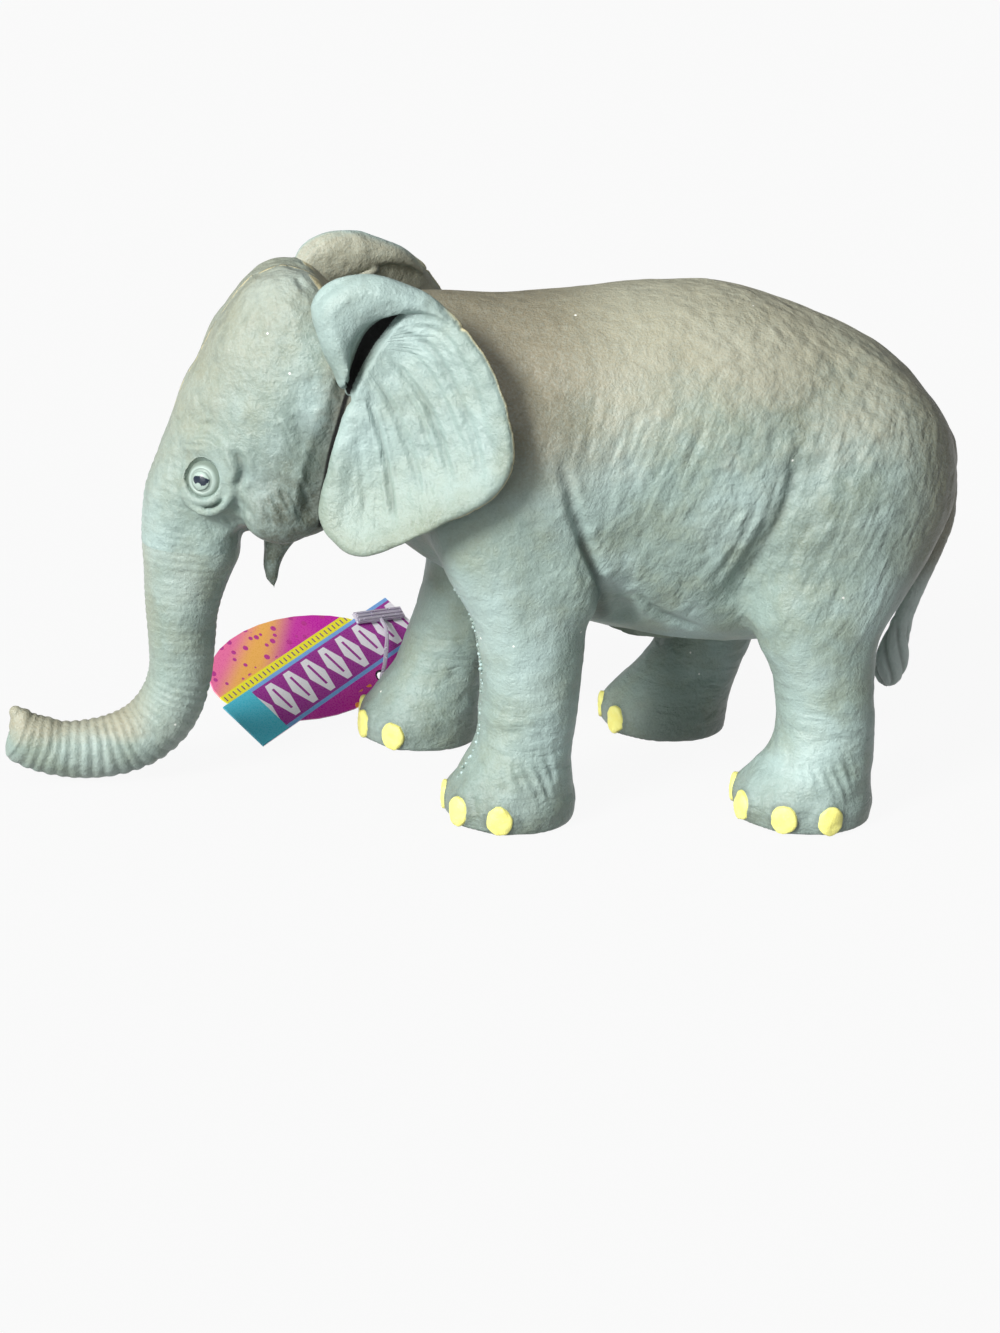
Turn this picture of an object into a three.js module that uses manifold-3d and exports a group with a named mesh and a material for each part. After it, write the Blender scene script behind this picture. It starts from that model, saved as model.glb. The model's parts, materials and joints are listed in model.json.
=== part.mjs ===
// Squishy elephant toy: a soft rubber skin over a soft filling, standing on four feet.
// Millimetres, +Z up. The elephant faces -X and its left side faces -Y.

import * as THREE from "three";
import Module from "manifold-3d";

const wasm = await Module();
wasm.setup();

// Clearances
const GAP = 0.3;
const SKIN = 2.4;

// Points round a ring, and how far a face may stray when small faces are merged
const ROUND = 20;
const HOLLOW_ROUND = 12;
const LEG_ROUND = 14;
const TRUNK_ROUND = 12;
const TAIL_ROUND = 8;
const TOLERANCE = 0.13;

// Body: rows of x, top height, bottom height, half width
const BODY_ROWS = [
  [-27, 102.5, 64, 15.5],
  [-20, 103.2, 54, 19],
  [-10, 103.4, 46.5, 23.5],
  [2, 103.2, 40.5, 27],
  [14, 103.8, 37, 29.5],
  [27, 105.6, 34, 31],
  [40, 106.3, 31.8, 31.8],
  [52, 104.8, 31, 31.6],
  [64, 101, 32.6, 30.4],
  [76, 96, 38, 27.6],
  [86, 89.5, 46, 23],
  [93, 81.5, 54, 17],
  [97, 73.5, 62, 9.5],
];
const BODY_FRONT = [-29.5, 84];
const BODY_REAR = [98, 68];
const BODY_MIDDLE = (BODY_FRONT[0] + BODY_REAR[0]) / 2;
const BODY_HALF_LENGTH = (BODY_REAR[0] - BODY_FRONT[0]) / 2;
const BODY_SQUARENESS = 2.15;

// Belly plug that closes the filling hole
const PLUG_X = 34;
const PLUG_HOLE = 5;
const PLUG_HEAD = 7.4;
const PLUG_HEAD_THICKNESS = 1.2;
const PLUG_DEPTH = 5;

// Head: rows of height, front x, back x, half width, narrowing towards the face
const HEAD_ROWS = [
  [107.4, -50, -38, 9, 0.1],
  [103.5, -53.4, -32.5, 14, 0.12],
  [97.5, -56.8, -23, 18, 0.15],
  [90, -60.2, -18, 20.2, 0.18],
  [82, -64, -16, 20.8, 0.22],
  [74, -66.6, -16.5, 20.4, 0.28],
  [67, -67.4, -19, 19.4, 0.32],
  [61, -65.5, -24, 17.2, 0.3],
  [56.5, -60.5, -30, 12.6, 0.2],
];
const HEAD_TOP = [109.2, -43.5];
const HEAD_BOTTOM = [53.6, -46];
const HEAD_SQUARENESS = 2.1;

// Trunk: rows of x, height, half width along its middle line
const TRUNK_ROWS = [
  [-57, 82, 9],
  [-60.6, 73, 9.8],
  [-62.2, 64, 9.2],
  [-62.7, 54, 8.6],
  [-62.9, 46, 8],
  [-62.9, 38, 7.5],
  [-62.9, 30, 6.9],
  [-63.3, 23, 6.6],
  [-65.4, 16.4, 6.7],
  [-69.6, 11, 6.7],
  [-75.5, 7.9, 6.5],
  [-82, 6.7, 6.2],
  [-88.5, 6.9, 5.8],
  [-94, 8.4, 5.5],
  [-97, 9.9, 4.9],
];
const TRUNK_TOP = [-55, 85];
const TRUNK_END = [-99.4, 10.9];
const TRUNK_BEND = { x: -62.9, z: 41, ball: 7.9 };
const TRUNK_CURL = { x: -72.2, z: 9.4, ball: 7.15, alongX: -0.885, alongZ: -0.465 };
const FINGER_ROWS = [
  [-93.5, 10.8, 3.2],
  [-95.6, 13.2, 2.8],
  [-97.2, 15, 2],
];
const FINGER_ROOT = [-92.5, 8.8];
const FINGER_END = [-97.7, 16.4];

// Lower jaw, a pointed lip: rows of x, height, half length, half width
const JAW_ROWS = [
  [-41, 56.5, 6.4, 5.6],
  [-42.6, 52.4, 4.6, 4.2],
  [-44, 48.4, 3, 2.9],
  [-44.6, 45, 1.9, 1.8],
];
const JAW_ROOT = [-41, 57.5];
const JAW_TIP = [-44.3, 42.4];

// Eyes
const EYE = { x: -59.4, y: 9.5, z: 67.8, radius: 4.1 };

// Legs: rows of height, centre x, centre y, half length, half width, for a left leg
const FRONT_LEG_UPPER = [
  [88, 2, 17.5, 9, 7],
  [80, 2.4, 19, 15, 9.6],
  [68, 2.8, 20, 18.2, 10.8],
  [58, 3.2, 20.6, 17.4, 11],
  [50, 4, 21, 14.8, 11],
];
const HIND_LEG_UPPER = [
  [93, 72, 15, 8.5, 6.5],
  [84, 72.4, 18.4, 15.5, 10.4],
  [70, 71, 20.6, 20, 12],
  [58, 68.4, 22, 20.4, 12.2],
  [47, 65.8, 23.4, 17.2, 12],
];
const LEGS = {
  left_front_leg: {
    side: -1,
    upper: FRONT_LEG_UPPER,
    lower: [
      [42, 5.5, 21.6, 12, 10.6],
      [33, 6.2, 22.2, 10.8, 10],
      [24, 6.1, 22.8, 10.2, 9.8],
      [16, 5.4, 23.2, 10.2, 10],
      [9.5, 4, 23.3, 12, 11.8],
      [4.5, 3.3, 23.3, 13.3, 13],
      [1, 3.3, 23.3, 13.1, 12.8],
    ],
    nails: [19, 61, 103, 145],
  },
  right_front_leg: {
    side: 1,
    upper: FRONT_LEG_UPPER,
    lower: [
      [42, 2.4, 21.6, 12, 10.6],
      [33, 0.2, 22.2, 10.8, 10],
      [24, -2.6, 22.8, 10.2, 9.8],
      [16, -5.4, 23.2, 10.2, 10],
      [9.5, -7.8, 23.3, 12, 11.8],
      [4.5, -9, 23.3, 13.3, 13],
      [1, -9, 23.3, 13.1, 12.8],
    ],
    nails: [19, 61, 103, 145],
  },
  left_hind_leg: {
    side: -1,
    upper: HIND_LEG_UPPER,
    lower: [
      [38, 65.4, 24.6, 12.8, 10.8],
      [30, 67, 25.4, 10.6, 10],
      [22, 68, 26, 10.2, 9.8],
      [15, 67.6, 26.3, 10.7, 10.3],
      [9.5, 65.8, 26.4, 12.6, 12.2],
      [4.5, 64.6, 26.4, 14.4, 13.4],
      [1, 64.6, 26.4, 14.2, 13.2],
    ],
    nails: [-10, 31, 75, 117],
  },
  right_hind_leg: {
    side: 1,
    upper: HIND_LEG_UPPER,
    lower: [
      [38, 61.8, 24.6, 12.8, 10.8],
      [30, 58.6, 25.4, 10.6, 10],
      [22, 55.2, 26, 10.4, 9.8],
      [15, 51.6, 26.3, 11.2, 10.3],
      [9.5, 48.2, 26.4, 12.8, 12.2],
      [4.5, 46.6, 26.4, 13.9, 13.4],
      [1, 46.6, 26.4, 13.7, 13.2],
    ],
    nails: [-10, 31, 75, 117],
  },
};
const LEG_SQUARENESS = 2.1;
const LEG_CROWN = 3;
const SOLE_EDGE = 0.7;
const NAIL = { halfWidth: 2.8, halfHeight: 3, halfDepth: 1.7, height: 3.3, sunk: 0.9 };

// Ears: the hinge line, and rows of root x, root height, rim x, rim height, rim y for a left ear
const EAR_AXIS = {
  top: new THREE.Vector3(-34.4, 20.2, 95),
  bottom: new THREE.Vector3(-33.6, 21, 69),
};
const EAR_ROLL = 2.5;
const EAR_ROWS = [
  [-34.6, 101.5, -36.4, 106.4, 20],
  [-34.6, 100.5, -31.5, 109.6, 19.8],
  [-34.4, 99, -24, 111, 20.6],
  [-34.3, 96.5, -15.8, 106.8, 24],
  [-34.2, 93, -8.2, 98, 30],
  [-34, 88, -3.8, 88, 35],
  [-33.8, 82.5, -2.8, 79, 37.4],
  [-33.7, 77.5, -6.4, 72.2, 37.6],
  [-33.6, 74, -13.6, 67.4, 36],
  [-33.5, 71, -21.4, 61.4, 33.4],
  [-33.5, 68.5, -29.6, 58.2, 30],
  [-33.4, 67.5, -35.6, 60.4, 25.6],
  [-33.4, 67, -37, 65, 21.6],
];
const EAR_THICKNESS = 2.2;
const EAR_RIM = 4.2;
const EAR_CUP = 3.4;
const EAR_FOLD_ROWS = [
  [-24.5, 21.4, 108.4, 2.6],
  [-30.3, 22, 107.2, 3.4],
  [-34.6, 22.9, 103.2, 3.7],
  [-35.7, 23.4, 98.1, 3.4],
  [-34.3, 23, 93.2, 2.7],
  [-31.6, 22.2, 89.3, 1.6],
];
const EAR_OPEN = 26;
const EAR_SHUT = 5;

// Tail: rows of x, height, half width, and the hinge at its root
const TAIL_ROWS = [
  [97.6, 61, 2.9],
  [97.6, 55, 2.8],
  [96, 48.5, 2.6],
  [93.8, 42, 2.4],
  [92.2, 36, 2.1],
  [91, 31.4, 2],
];
const TAIL_ROOT = [98, 62];
const TAIL_END = [90.6, 30.8];
const TAIL_HINGE = { x: 97, z: 62, ball: 3.2 };
const TUFT_ROWS = [
  [91, 32.4, 1.9],
  [90.4, 28.4, 3],
  [89.8, 24.2, 3.7],
  [89.4, 20.6, 3.3],
  [89.2, 18.6, 2],
];
const TUFT_ROOT = [91.2, 33];
const TUFT_TIP = [89.2, 17.5];
const TUFT_FLATNESS = 0.8;

// Hang tag: the card rests beside the right front leg, its plane turned and leaning back.
// Distances on it are taken from the punched hole, whose place on the oval is in shares of its half sizes
const TAG = {
  hole: new THREE.Vector3(-15.4, 41.5, 6.1),
  lean: 55.5,
  turn: 33,
  thickness: 0.4,
  holeRadius: 1.6,
  oval: { holeAlong: 0.676, holeDown: 0.543, halfLength: 25.6, halfHeight: 13.8, turn: 0 },
  band: { x: -12.8, y: 5.6, length: 60, height: 12.4, turn: 17 },
};

// Tag pin: one moulding with a paddle, a filament and a cross bar inside the leg.
// The filament's points are on the card: along it, up it and out from its face
const PIN = {
  filament: 0.45,
  paddle: { x: 8.6, y: 15.6, length: 13, height: 2.8, thickness: 0.9, turn: -6, off: 0.3 },
  rib: { width: 0.35, inset: 0.4, pitch: 0.95 },
  overCard: [
    [7.4, 11, 1.9],
    [3.4, 5, 1.9],
    [0.3, 1.2, 1.5],
    [0, 0, -0.8],
    [3, -0.6, -1.7],
    [6, -0.8, -0.4],
    [6.4, -0.6, 2],
  ],
  toLeg: [
    [-11.4, 39.4, 10.4],
    [-11.9, 35.4, 12],
  ],
  bar: new THREE.Vector3(-11.2, 30.9, 13),
  barHalfLength: 3.4,
  barRadius: 0.6,
};

// Row-wise smooth curve through the given rows
function throughRows(rows, steps) {
  const out = [];
  for (let i = 0; i + 1 < rows.length; i += 1) {
    const before = rows[Math.max(i - 1, 0)];
    const from = rows[i];
    const to = rows[i + 1];
    const after = rows[Math.min(i + 2, rows.length - 1)];
    for (let s = 0; s < steps; s += 1) {
      const t = s / steps;
      const row = from.map((value, k) => {
        const leave = (to[k] - before[k]) / 2;
        const arrive = (after[k] - value) / 2;
        const t2 = t * t;
        const t3 = t2 * t;
        return (2 * t3 - 3 * t2 + 1) * value
          + (t3 - 2 * t2 + t) * leave
          + (3 * t2 - 2 * t3) * to[k]
          + (t3 - t2) * arrive;
      });
      out.push(row);
    }
  }
  out.push(rows[rows.length - 1].slice());
  return out;
}

// One closed ring of points. Squareness 2 is an ellipse; narrowing thins one end of its width
function ringAt(centre, alongWidth, alongHeight, halfWidth, halfHeight, count, shape = {}) {
  const { squareness = 2, narrowing = 0 } = shape;
  const points = [];
  for (let i = 0; i < count; i += 1) {
    const angle = (2 * Math.PI * i) / count;
    const c = Math.cos(angle);
    const s = Math.sin(angle);
    const across = Math.sign(c) * Math.abs(c) ** (2 / squareness);
    const up = Math.sign(s) * Math.abs(s) ** (2 / squareness) * (1 + narrowing * c);
    const point = centre.clone();
    point.addScaledVector(alongWidth, halfWidth * across);
    point.addScaledVector(alongHeight, halfHeight * up);
    points.push(point);
  }
  return points;
}

// Closed surface over a run of rings, with a pole at each end
function skinOver(rings, firstPole, lastPole) {
  const count = rings[0].length;
  const positions = [];
  const index = [];
  positions.push(...firstPole.toArray());
  for (const ring of rings) {
    for (const point of ring) {
      positions.push(...point.toArray());
    }
  }
  positions.push(...lastPole.toArray());
  const last = positions.length / 3 - 1;
  const at = (ring, i) => 1 + ring * count + (i % count);
  for (let i = 0; i < count; i += 1) {
    index.push(0, at(0, i + 1), at(0, i));
    index.push(last, at(rings.length - 1, i), at(rings.length - 1, i + 1));
    for (let ring = 0; ring + 1 < rings.length; ring += 1) {
      index.push(at(ring, i), at(ring, i + 1), at(ring + 1, i + 1));
      index.push(at(ring, i), at(ring + 1, i + 1), at(ring + 1, i));
    }
  }
  const geometry = new THREE.BufferGeometry();
  geometry.setAttribute("position", new THREE.Float32BufferAttribute(positions, 3));
  geometry.setIndex(index);
  return geometry;
}

function signedVolume(positions, index) {
  let sum = 0;
  const a = new THREE.Vector3();
  const b = new THREE.Vector3();
  const c = new THREE.Vector3();
  for (let i = 0; i < index.length; i += 3) {
    a.fromArray(positions, index[i] * 3);
    b.fromArray(positions, index[i + 1] * 3);
    c.fromArray(positions, index[i + 2] * 3);
    sum += a.dot(b.cross(c)) / 6;
  }
  return sum;
}

// Vertices at the same place are joined, and faces are turned to point outwards
function solidFrom(geometry) {
  const source = geometry.index ? geometry.toNonIndexed() : geometry;
  const raw = source.attributes.position.array;
  const places = new Map();
  const positions = [];
  let index = [];
  for (let i = 0; i < raw.length; i += 3) {
    const key = `${raw[i].toFixed(4)} ${raw[i + 1].toFixed(4)} ${raw[i + 2].toFixed(4)}`;
    if (!places.has(key)) {
      places.set(key, positions.length / 3);
      positions.push(raw[i], raw[i + 1], raw[i + 2]);
    }
    index.push(places.get(key));
  }
  const kept = [];
  for (let i = 0; i < index.length; i += 3) {
    const [a, b, c] = index.slice(i, i + 3);
    if (a !== b && b !== c && c !== a) {
      kept.push(a, b, c);
    }
  }
  index = kept;
  if (signedVolume(positions, index) < 0) {
    index.reverse();
  }
  return new wasm.Manifold(new wasm.Mesh({
    numProp: 3,
    vertProperties: new Float32Array(positions),
    triVerts: new Uint32Array(index),
  }));
}

function geometryFrom(solid) {
  const mesh = largest(solid.simplify(TOLERANCE)).getMesh();
  const positions = Array.from(mesh.vertProperties);
  const geometry = new THREE.BufferGeometry();
  geometry.setAttribute("position", new THREE.Float32BufferAttribute(positions, 3));
  geometry.setIndex(Array.from(mesh.triVerts));
  geometry.computeVertexNormals();
  return geometry;
}

function placed(geometry, position, turn = new THREE.Quaternion(), scale = new THREE.Vector3(1, 1, 1)) {
  return solidFrom(geometry.clone().applyMatrix4(new THREE.Matrix4().compose(position, turn, scale)));
}

// A ball whose poles point sideways. Its bands are even in number, so its middle has the full radius
function ball(x, y, z, radius, detail = 12) {
  return placed(new THREE.SphereGeometry(radius, detail, detail / 2), new THREE.Vector3(x, y, z));
}

const X = new THREE.Vector3(1, 0, 0);
const Y = new THREE.Vector3(0, 1, 0);
const Z = new THREE.Vector3(0, 0, 1);

// Body surface, grown by a clearance or shrunk by a wall
function bodyForm(grow, round = ROUND) {
  const rings = BODY_ROWS.map(([x, top, bottom, halfWidth]) => {
    const outwards = Math.sign(x - BODY_MIDDLE) * Math.abs((x - BODY_MIDDLE) / BODY_HALF_LENGTH) ** 3;
    const centre = new THREE.Vector3(x + grow * outwards, 0, (top + bottom) / 2);
    const shape = { squareness: BODY_SQUARENESS };
    return ringAt(centre, Z, Y, (top - bottom) / 2 + grow, halfWidth + grow, round, shape);
  });
  const front = new THREE.Vector3(BODY_FRONT[0] - grow, 0, BODY_FRONT[1]);
  const rear = new THREE.Vector3(BODY_REAR[0] + grow, 0, BODY_REAR[1]);
  return solidFrom(skinOver(rings, front, rear));
}

function headForm(grow) {
  const rings = HEAD_ROWS.map(([z, front, back, halfWidth, narrowing]) => {
    const centre = new THREE.Vector3((front + back) / 2, 0, z);
    const halfLength = (back - front) / 2 + grow;
    const shape = { squareness: HEAD_SQUARENESS, narrowing };
    return ringAt(centre, X, Y, halfLength, halfWidth + grow, ROUND, shape);
  });
  const top = new THREE.Vector3(HEAD_TOP[1], 0, HEAD_TOP[0] + grow);
  const bottom = new THREE.Vector3(HEAD_BOTTOM[1], 0, HEAD_BOTTOM[0] - grow);
  return solidFrom(skinOver(rings, top, bottom));
}

// Tube in the middle plane through rows of x, height and half width
function middleTube(rows, steps, round, firstPole, lastPole, grow = 0, flatten = 1) {
  const path = throughRows(rows, steps);
  const rings = path.map(([x, z, half], i) => {
    const before = path[Math.max(i - 1, 0)];
    const after = path[Math.min(i + 1, path.length - 1)];
    const along = new THREE.Vector3(after[0] - before[0], 0, after[1] - before[1]).normalize();
    const across = new THREE.Vector3(-along.z, 0, along.x);
    return ringAt(new THREE.Vector3(x, 0, z), across, Y, half + grow, half * flatten + grow, round);
  });
  const first = new THREE.Vector3(firstPole[0], 0, firstPole[1]);
  const last = new THREE.Vector3(lastPole[0], 0, lastPole[1]);
  return solidFrom(skinOver(rings, first, last));
}

function legRing([z, x, y, halfLength, halfWidth], side, grow) {
  const centre = new THREE.Vector3(x, side * y, z);
  const shape = { squareness: LEG_SQUARENESS };
  return ringAt(centre, X, Y, halfLength + grow, halfWidth + grow, LEG_ROUND, shape);
}

// Leg from its rounded crown inside the body down to its flat sole
function legForm(leg, grow) {
  const rows = [...leg.upper, ...leg.lower];
  const [topHeight, topX, topY] = rows[0];
  const [, soleX, soleY, soleHalfLength, soleHalfWidth] = rows[rows.length - 1];
  const sole = [0, soleX, soleY, soleHalfLength - SOLE_EDGE, soleHalfWidth - SOLE_EDGE];
  const rings = [...rows, sole].map((row) => legRing(row, leg.side, grow));
  const crown = new THREE.Vector3(topX, leg.side * topY, topHeight + LEG_CROWN + grow);
  return solidFrom(skinOver(rings, crown, new THREE.Vector3(soleX, leg.side * soleY, 0)));
}

// Toenail, turned about the foot: 0 faces outwards and 90 faces forwards
function nailForm(leg, degrees, grow) {
  const foot = leg.lower[leg.lower.length - 2];
  const angle = THREE.MathUtils.degToRad(degrees);
  const direction = new THREE.Vector3(-Math.sin(angle), leg.side * Math.cos(angle), 0);
  const reach = 1 / Math.hypot(direction.x / foot[3], direction.y / foot[4]) - NAIL.sunk;
  const centre = new THREE.Vector3(foot[1], leg.side * foot[2], NAIL.height);
  centre.addScaledVector(direction, reach);
  const turn = new THREE.Quaternion().setFromUnitVectors(X, direction);
  const scale = new THREE.Vector3(NAIL.halfDepth + grow, NAIL.halfWidth + grow, NAIL.halfHeight + grow);
  return placed(new THREE.SphereGeometry(1, 8, 5).rotateX(Math.PI / 2), centre, turn, scale);
}

function sidePoint(point, side) {
  return new THREE.Vector3(point.x, side * point.y, point.z);
}

// Ear: each ring runs from the root out to the rim and back, so the rim is thick and rounded
function earForm(side) {
  const profile = [0, 0.3, 0.6, 0.85, 1, 1.02, 1, 0.85, 0.6, 0.3];
  const rows = EAR_ROWS;
  const rings = rows.map(([rootX, rootZ, rimX, rimZ, rimY], index) => {
    const closing = Math.min(1, 0.45 + index * 0.3, 0.45 + (rows.length - 1 - index) * 0.3);
    return profile.map((u, i) => {
      const outside = i < 5 ? 1 : i > 5 ? -1 : 0;
      const t = Math.min(u, 1);
      const rim = THREE.MathUtils.smoothstep(t, 0.78, 1);
      const half = (EAR_THICKNESS + (EAR_RIM - EAR_THICKNESS) * rim) / 2;
      const rootY = EAR_AXIS.bottom.y;
      const y = rootY + (rimY - rootY) * t - EAR_CUP * Math.sin(Math.PI * t) * (t < 0.5 ? 0.6 : 1);
      const wide = u > 1 ? 1.4 / Math.max(6, Math.hypot(rimX - rootX, rimZ - rootZ)) : 0;
      const x = rootX + (rimX - rootX) * (t + wide);
      const z = rootZ + (rimZ - rootZ) * (t + wide);
      const round = t >= 1 && outside !== 0 ? 0.72 : 1;
      return new THREE.Vector3(x, side * (y + outside * half * closing * round), z);
    });
  });
  const first = rings[0].reduce((sum, p) => sum.add(p), new THREE.Vector3()).divideScalar(profile.length);
  const lastRing = rings[rings.length - 1];
  const last = lastRing.reduce((sum, p) => sum.add(p), new THREE.Vector3()).divideScalar(profile.length);
  return solidFrom(skinOver(rings, first, last));
}

// The rolled front edge at the top of the ear
function earFold(side) {
  const path = EAR_FOLD_ROWS;
  const rings = path.map(([x, y, z, half], i) => {
    const before = path[Math.max(i - 1, 0)];
    const after = path[Math.min(i + 1, path.length - 1)];
    const along = new THREE.Vector3(after[0] - before[0], 0, after[2] - before[2]).normalize();
    const across = new THREE.Vector3(-along.z, 0, along.x);
    return ringAt(new THREE.Vector3(x, side * y, z), across, Y, half, half * 0.85, 8);
  });
  const first = sidePoint({ x: path[0][0] + 1.6, y: path[0][1], z: path[0][2] + 0.4 }, side);
  const end = path[path.length - 1];
  const last = sidePoint({ x: end[0] + 0.9, y: end[1], z: end[2] - 1 }, side);
  return solidFrom(skinOver(rings, first, last));
}

// Root roll along the ear's hinge line
function earRoll(side, grow) {
  const top = sidePoint(EAR_AXIS.top, side);
  const bottom = sidePoint(EAR_AXIS.bottom, side);
  const along = top.clone().sub(bottom);
  const length = along.length();
  const turn = new THREE.Quaternion().setFromUnitVectors(Y, along.normalize());
  const middle = top.clone().add(bottom).multiplyScalar(0.5);
  const geometry = new THREE.CapsuleGeometry(EAR_ROLL + grow, length, 2, 8);
  return placed(geometry, middle, turn);
}

// The same solid turned about the ear's hinge line; positive opens the ear
function turnedAboutEar(solid, side, degrees) {
  const base = sidePoint(EAR_AXIS.bottom, side);
  const axis = sidePoint(EAR_AXIS.top, side).sub(base).normalize();
  const turn = new THREE.Quaternion().setFromAxisAngle(axis, THREE.MathUtils.degToRad(degrees * side));
  const matrix = new THREE.Matrix4().makeTranslation(base.x, base.y, base.z);
  matrix.multiply(new THREE.Matrix4().makeRotationFromQuaternion(turn));
  matrix.multiply(new THREE.Matrix4().makeTranslation(-base.x, -base.y, -base.z));
  return solid.transform(matrix.elements);
}

const toy = new THREE.Group();
toy.name = "squishy_elephant_toy";

const COLOURS = {
  skin: 0x96a59b,
  ear: 0x8c9a92,
  filling: 0xe9e4d6,
  nail: 0xf6ef78,
  eye: 0xc9cfcf,
  card: 0xc23fb2,
  pin: 0xd9dbe6,
};

function addPiece(name, solid, colour, roughness = 0.55) {
  const material = new THREE.MeshStandardMaterial({ color: colour, roughness, metalness: 0 });
  material.name = `${name}_surface`;
  const mesh = new THREE.Mesh(geometryFrom(solid), material);
  mesh.name = name;
  toy.add(mesh);
  return mesh;
}

// The largest body of a solid, so that no loose sliver stays
function largest(solid) {
  const bodies = solid.decompose();
  bodies.sort((a, b) => b.volume() - a.volume());
  return bodies[0];
}

// Everything on the far side of a plane through a point
function beyond(point, direction) {
  const reach = 300;
  const turn = new THREE.Quaternion().setFromUnitVectors(Z, direction.clone().normalize());
  const centre = point.clone().addScaledVector(direction.clone().normalize(), reach / 2);
  return placed(new THREE.BoxGeometry(reach, reach, reach), centre, turn);
}

// Round rod along a smooth curve through the given points
function rodThrough(points, radius, steps, round) {
  const curve = new THREE.CatmullRomCurve3(points);
  const path = curve.getSpacedPoints(steps);
  const frames = curve.computeFrenetFrames(steps, false);
  const rings = path.map((point, i) => (
    ringAt(point, frames.normals[i], frames.binormals[i], radius, radius, round)
  ));
  const first = path[0].clone().addScaledVector(frames.tangents[0], -radius * 0.6);
  const last = path[steps].clone().addScaledVector(frames.tangents[steps], radius * 0.6);
  return solidFrom(skinOver(rings, first, last));
}

// Body skin, its filling and the plug under the belly
const plugRow = throughRows(BODY_ROWS, 8).find((row) => row[0] >= PLUG_X);
const bellyHeight = plugRow[2];

function uprightCylinder(radius, from, to, grow = 0) {
  const geometry = new THREE.CylinderGeometry(radius + grow, radius + grow, to - from, 16);
  geometry.rotateX(Math.PI / 2);
  return placed(geometry, new THREE.Vector3(PLUG_X, 0, (from + to) / 2));
}

const bodyOuter = bodyForm(0);
const bodyClear = bodyForm(GAP);
const tailBall = ball(TAIL_HINGE.x, 0, TAIL_HINGE.z, TAIL_HINGE.ball);
const tailSocket = ball(TAIL_HINGE.x, 0, TAIL_HINGE.z, TAIL_HINGE.ball + GAP);

const bodySkin = bodyOuter
  .subtract(bodyForm(-SKIN, HOLLOW_ROUND))
  .subtract(uprightCylinder(PLUG_HOLE, bellyHeight - 6, bellyHeight + 12))
  .subtract(tailSocket);
addPiece("body_skin", largest(bodySkin), COLOURS.skin);

const stemTop = bellyHeight + PLUG_DEPTH;
const filling = bodyForm(-SKIN - GAP, HOLLOW_ROUND)
  .subtract(uprightCylinder(PLUG_HOLE, bellyHeight - 6, stemTop + GAP))
  .subtract(ball(TAIL_HINGE.x, 0, TAIL_HINGE.z, TAIL_HINGE.ball + 2 * GAP));
addPiece("body_filling", largest(filling), COLOURS.filling, 0.95);

const flange = uprightCylinder(PLUG_HEAD, bellyHeight - 4, bellyHeight + 4)
  .intersect(bodyForm(GAP + PLUG_HEAD_THICKNESS))
  .subtract(bodyClear);
const stem = uprightCylinder(PLUG_HOLE - GAP, bellyHeight - GAP - PLUG_HEAD_THICKNESS / 2, stemTop);
addPiece("belly_plug", largest(flange.add(stem)), COLOURS.skin);

// Head with its eye sockets and its two ear grooves
const headClear = headForm(GAP);
let head = headForm(0).subtract(bodyClear);
for (const side of [-1, 1]) {
  head = head.subtract(ball(EYE.x, side * EYE.y, EYE.z, EYE.radius + GAP));
  head = head.subtract(earRoll(side, GAP));
}
addPiece("head", largest(head), COLOURS.skin);
addPiece("left_eye", ball(EYE.x, -EYE.y, EYE.z, EYE.radius), COLOURS.eye, 0.25);
addPiece("right_eye", ball(EYE.x, EYE.y, EYE.z, EYE.radius), COLOURS.eye, 0.25);

const jawRings = throughRows(JAW_ROWS, 1).map(([x, z, halfLength, halfWidth]) => (
  ringAt(new THREE.Vector3(x, 0, z), X, Y, halfLength, halfWidth, 14)
));
const jaw = solidFrom(skinOver(
  jawRings,
  new THREE.Vector3(JAW_ROOT[0], 0, JAW_ROOT[1]),
  new THREE.Vector3(JAW_TIP[0], 0, JAW_TIP[1]),
));
addPiece("lower_jaw", largest(jaw.subtract(headClear)), COLOURS.skin);

// Trunk in three lengths, joined by two rounded seats that let it bend
const trunk = middleTube(TRUNK_ROWS, 1, TRUNK_ROUND, TRUNK_TOP, TRUNK_END);
const finger = middleTube(FINGER_ROWS, 1, TAIL_ROUND, FINGER_ROOT, FINGER_END);
const bendPoint = new THREE.Vector3(TRUNK_BEND.x, 0, TRUNK_BEND.z);
const curlPoint = new THREE.Vector3(TRUNK_CURL.x, 0, TRUNK_CURL.z);
const curlWay = new THREE.Vector3(TRUNK_CURL.alongX, 0, TRUNK_CURL.alongZ);
const bendBall = ball(TRUNK_BEND.x, 0, TRUNK_BEND.z, TRUNK_BEND.ball, 16);
const bendSocket = ball(TRUNK_BEND.x, 0, TRUNK_BEND.z, TRUNK_BEND.ball + GAP, 16);
const curlBall = ball(TRUNK_CURL.x, 0, TRUNK_CURL.z, TRUNK_CURL.ball, 16);
const curlSocket = ball(TRUNK_CURL.x, 0, TRUNK_CURL.z, TRUNK_CURL.ball + GAP, 16);

const trunkBase = trunk
  .subtract(beyond(bendPoint, Z.clone().negate()))
  .subtract(headClear)
  .subtract(bendSocket)
  .subtract(ball(EYE.x, -EYE.y, EYE.z, EYE.radius + GAP, 14))
  .subtract(ball(EYE.x, EYE.y, EYE.z, EYE.radius + GAP, 14));
addPiece("trunk_base", largest(trunkBase), COLOURS.skin);

const trunkMiddle = trunk
  .subtract(beyond(bendPoint, Z))
  .subtract(beyond(curlPoint, curlWay))
  .add(bendBall)
  .subtract(curlSocket);
addPiece("trunk_middle", largest(trunkMiddle), COLOURS.skin);

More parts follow.
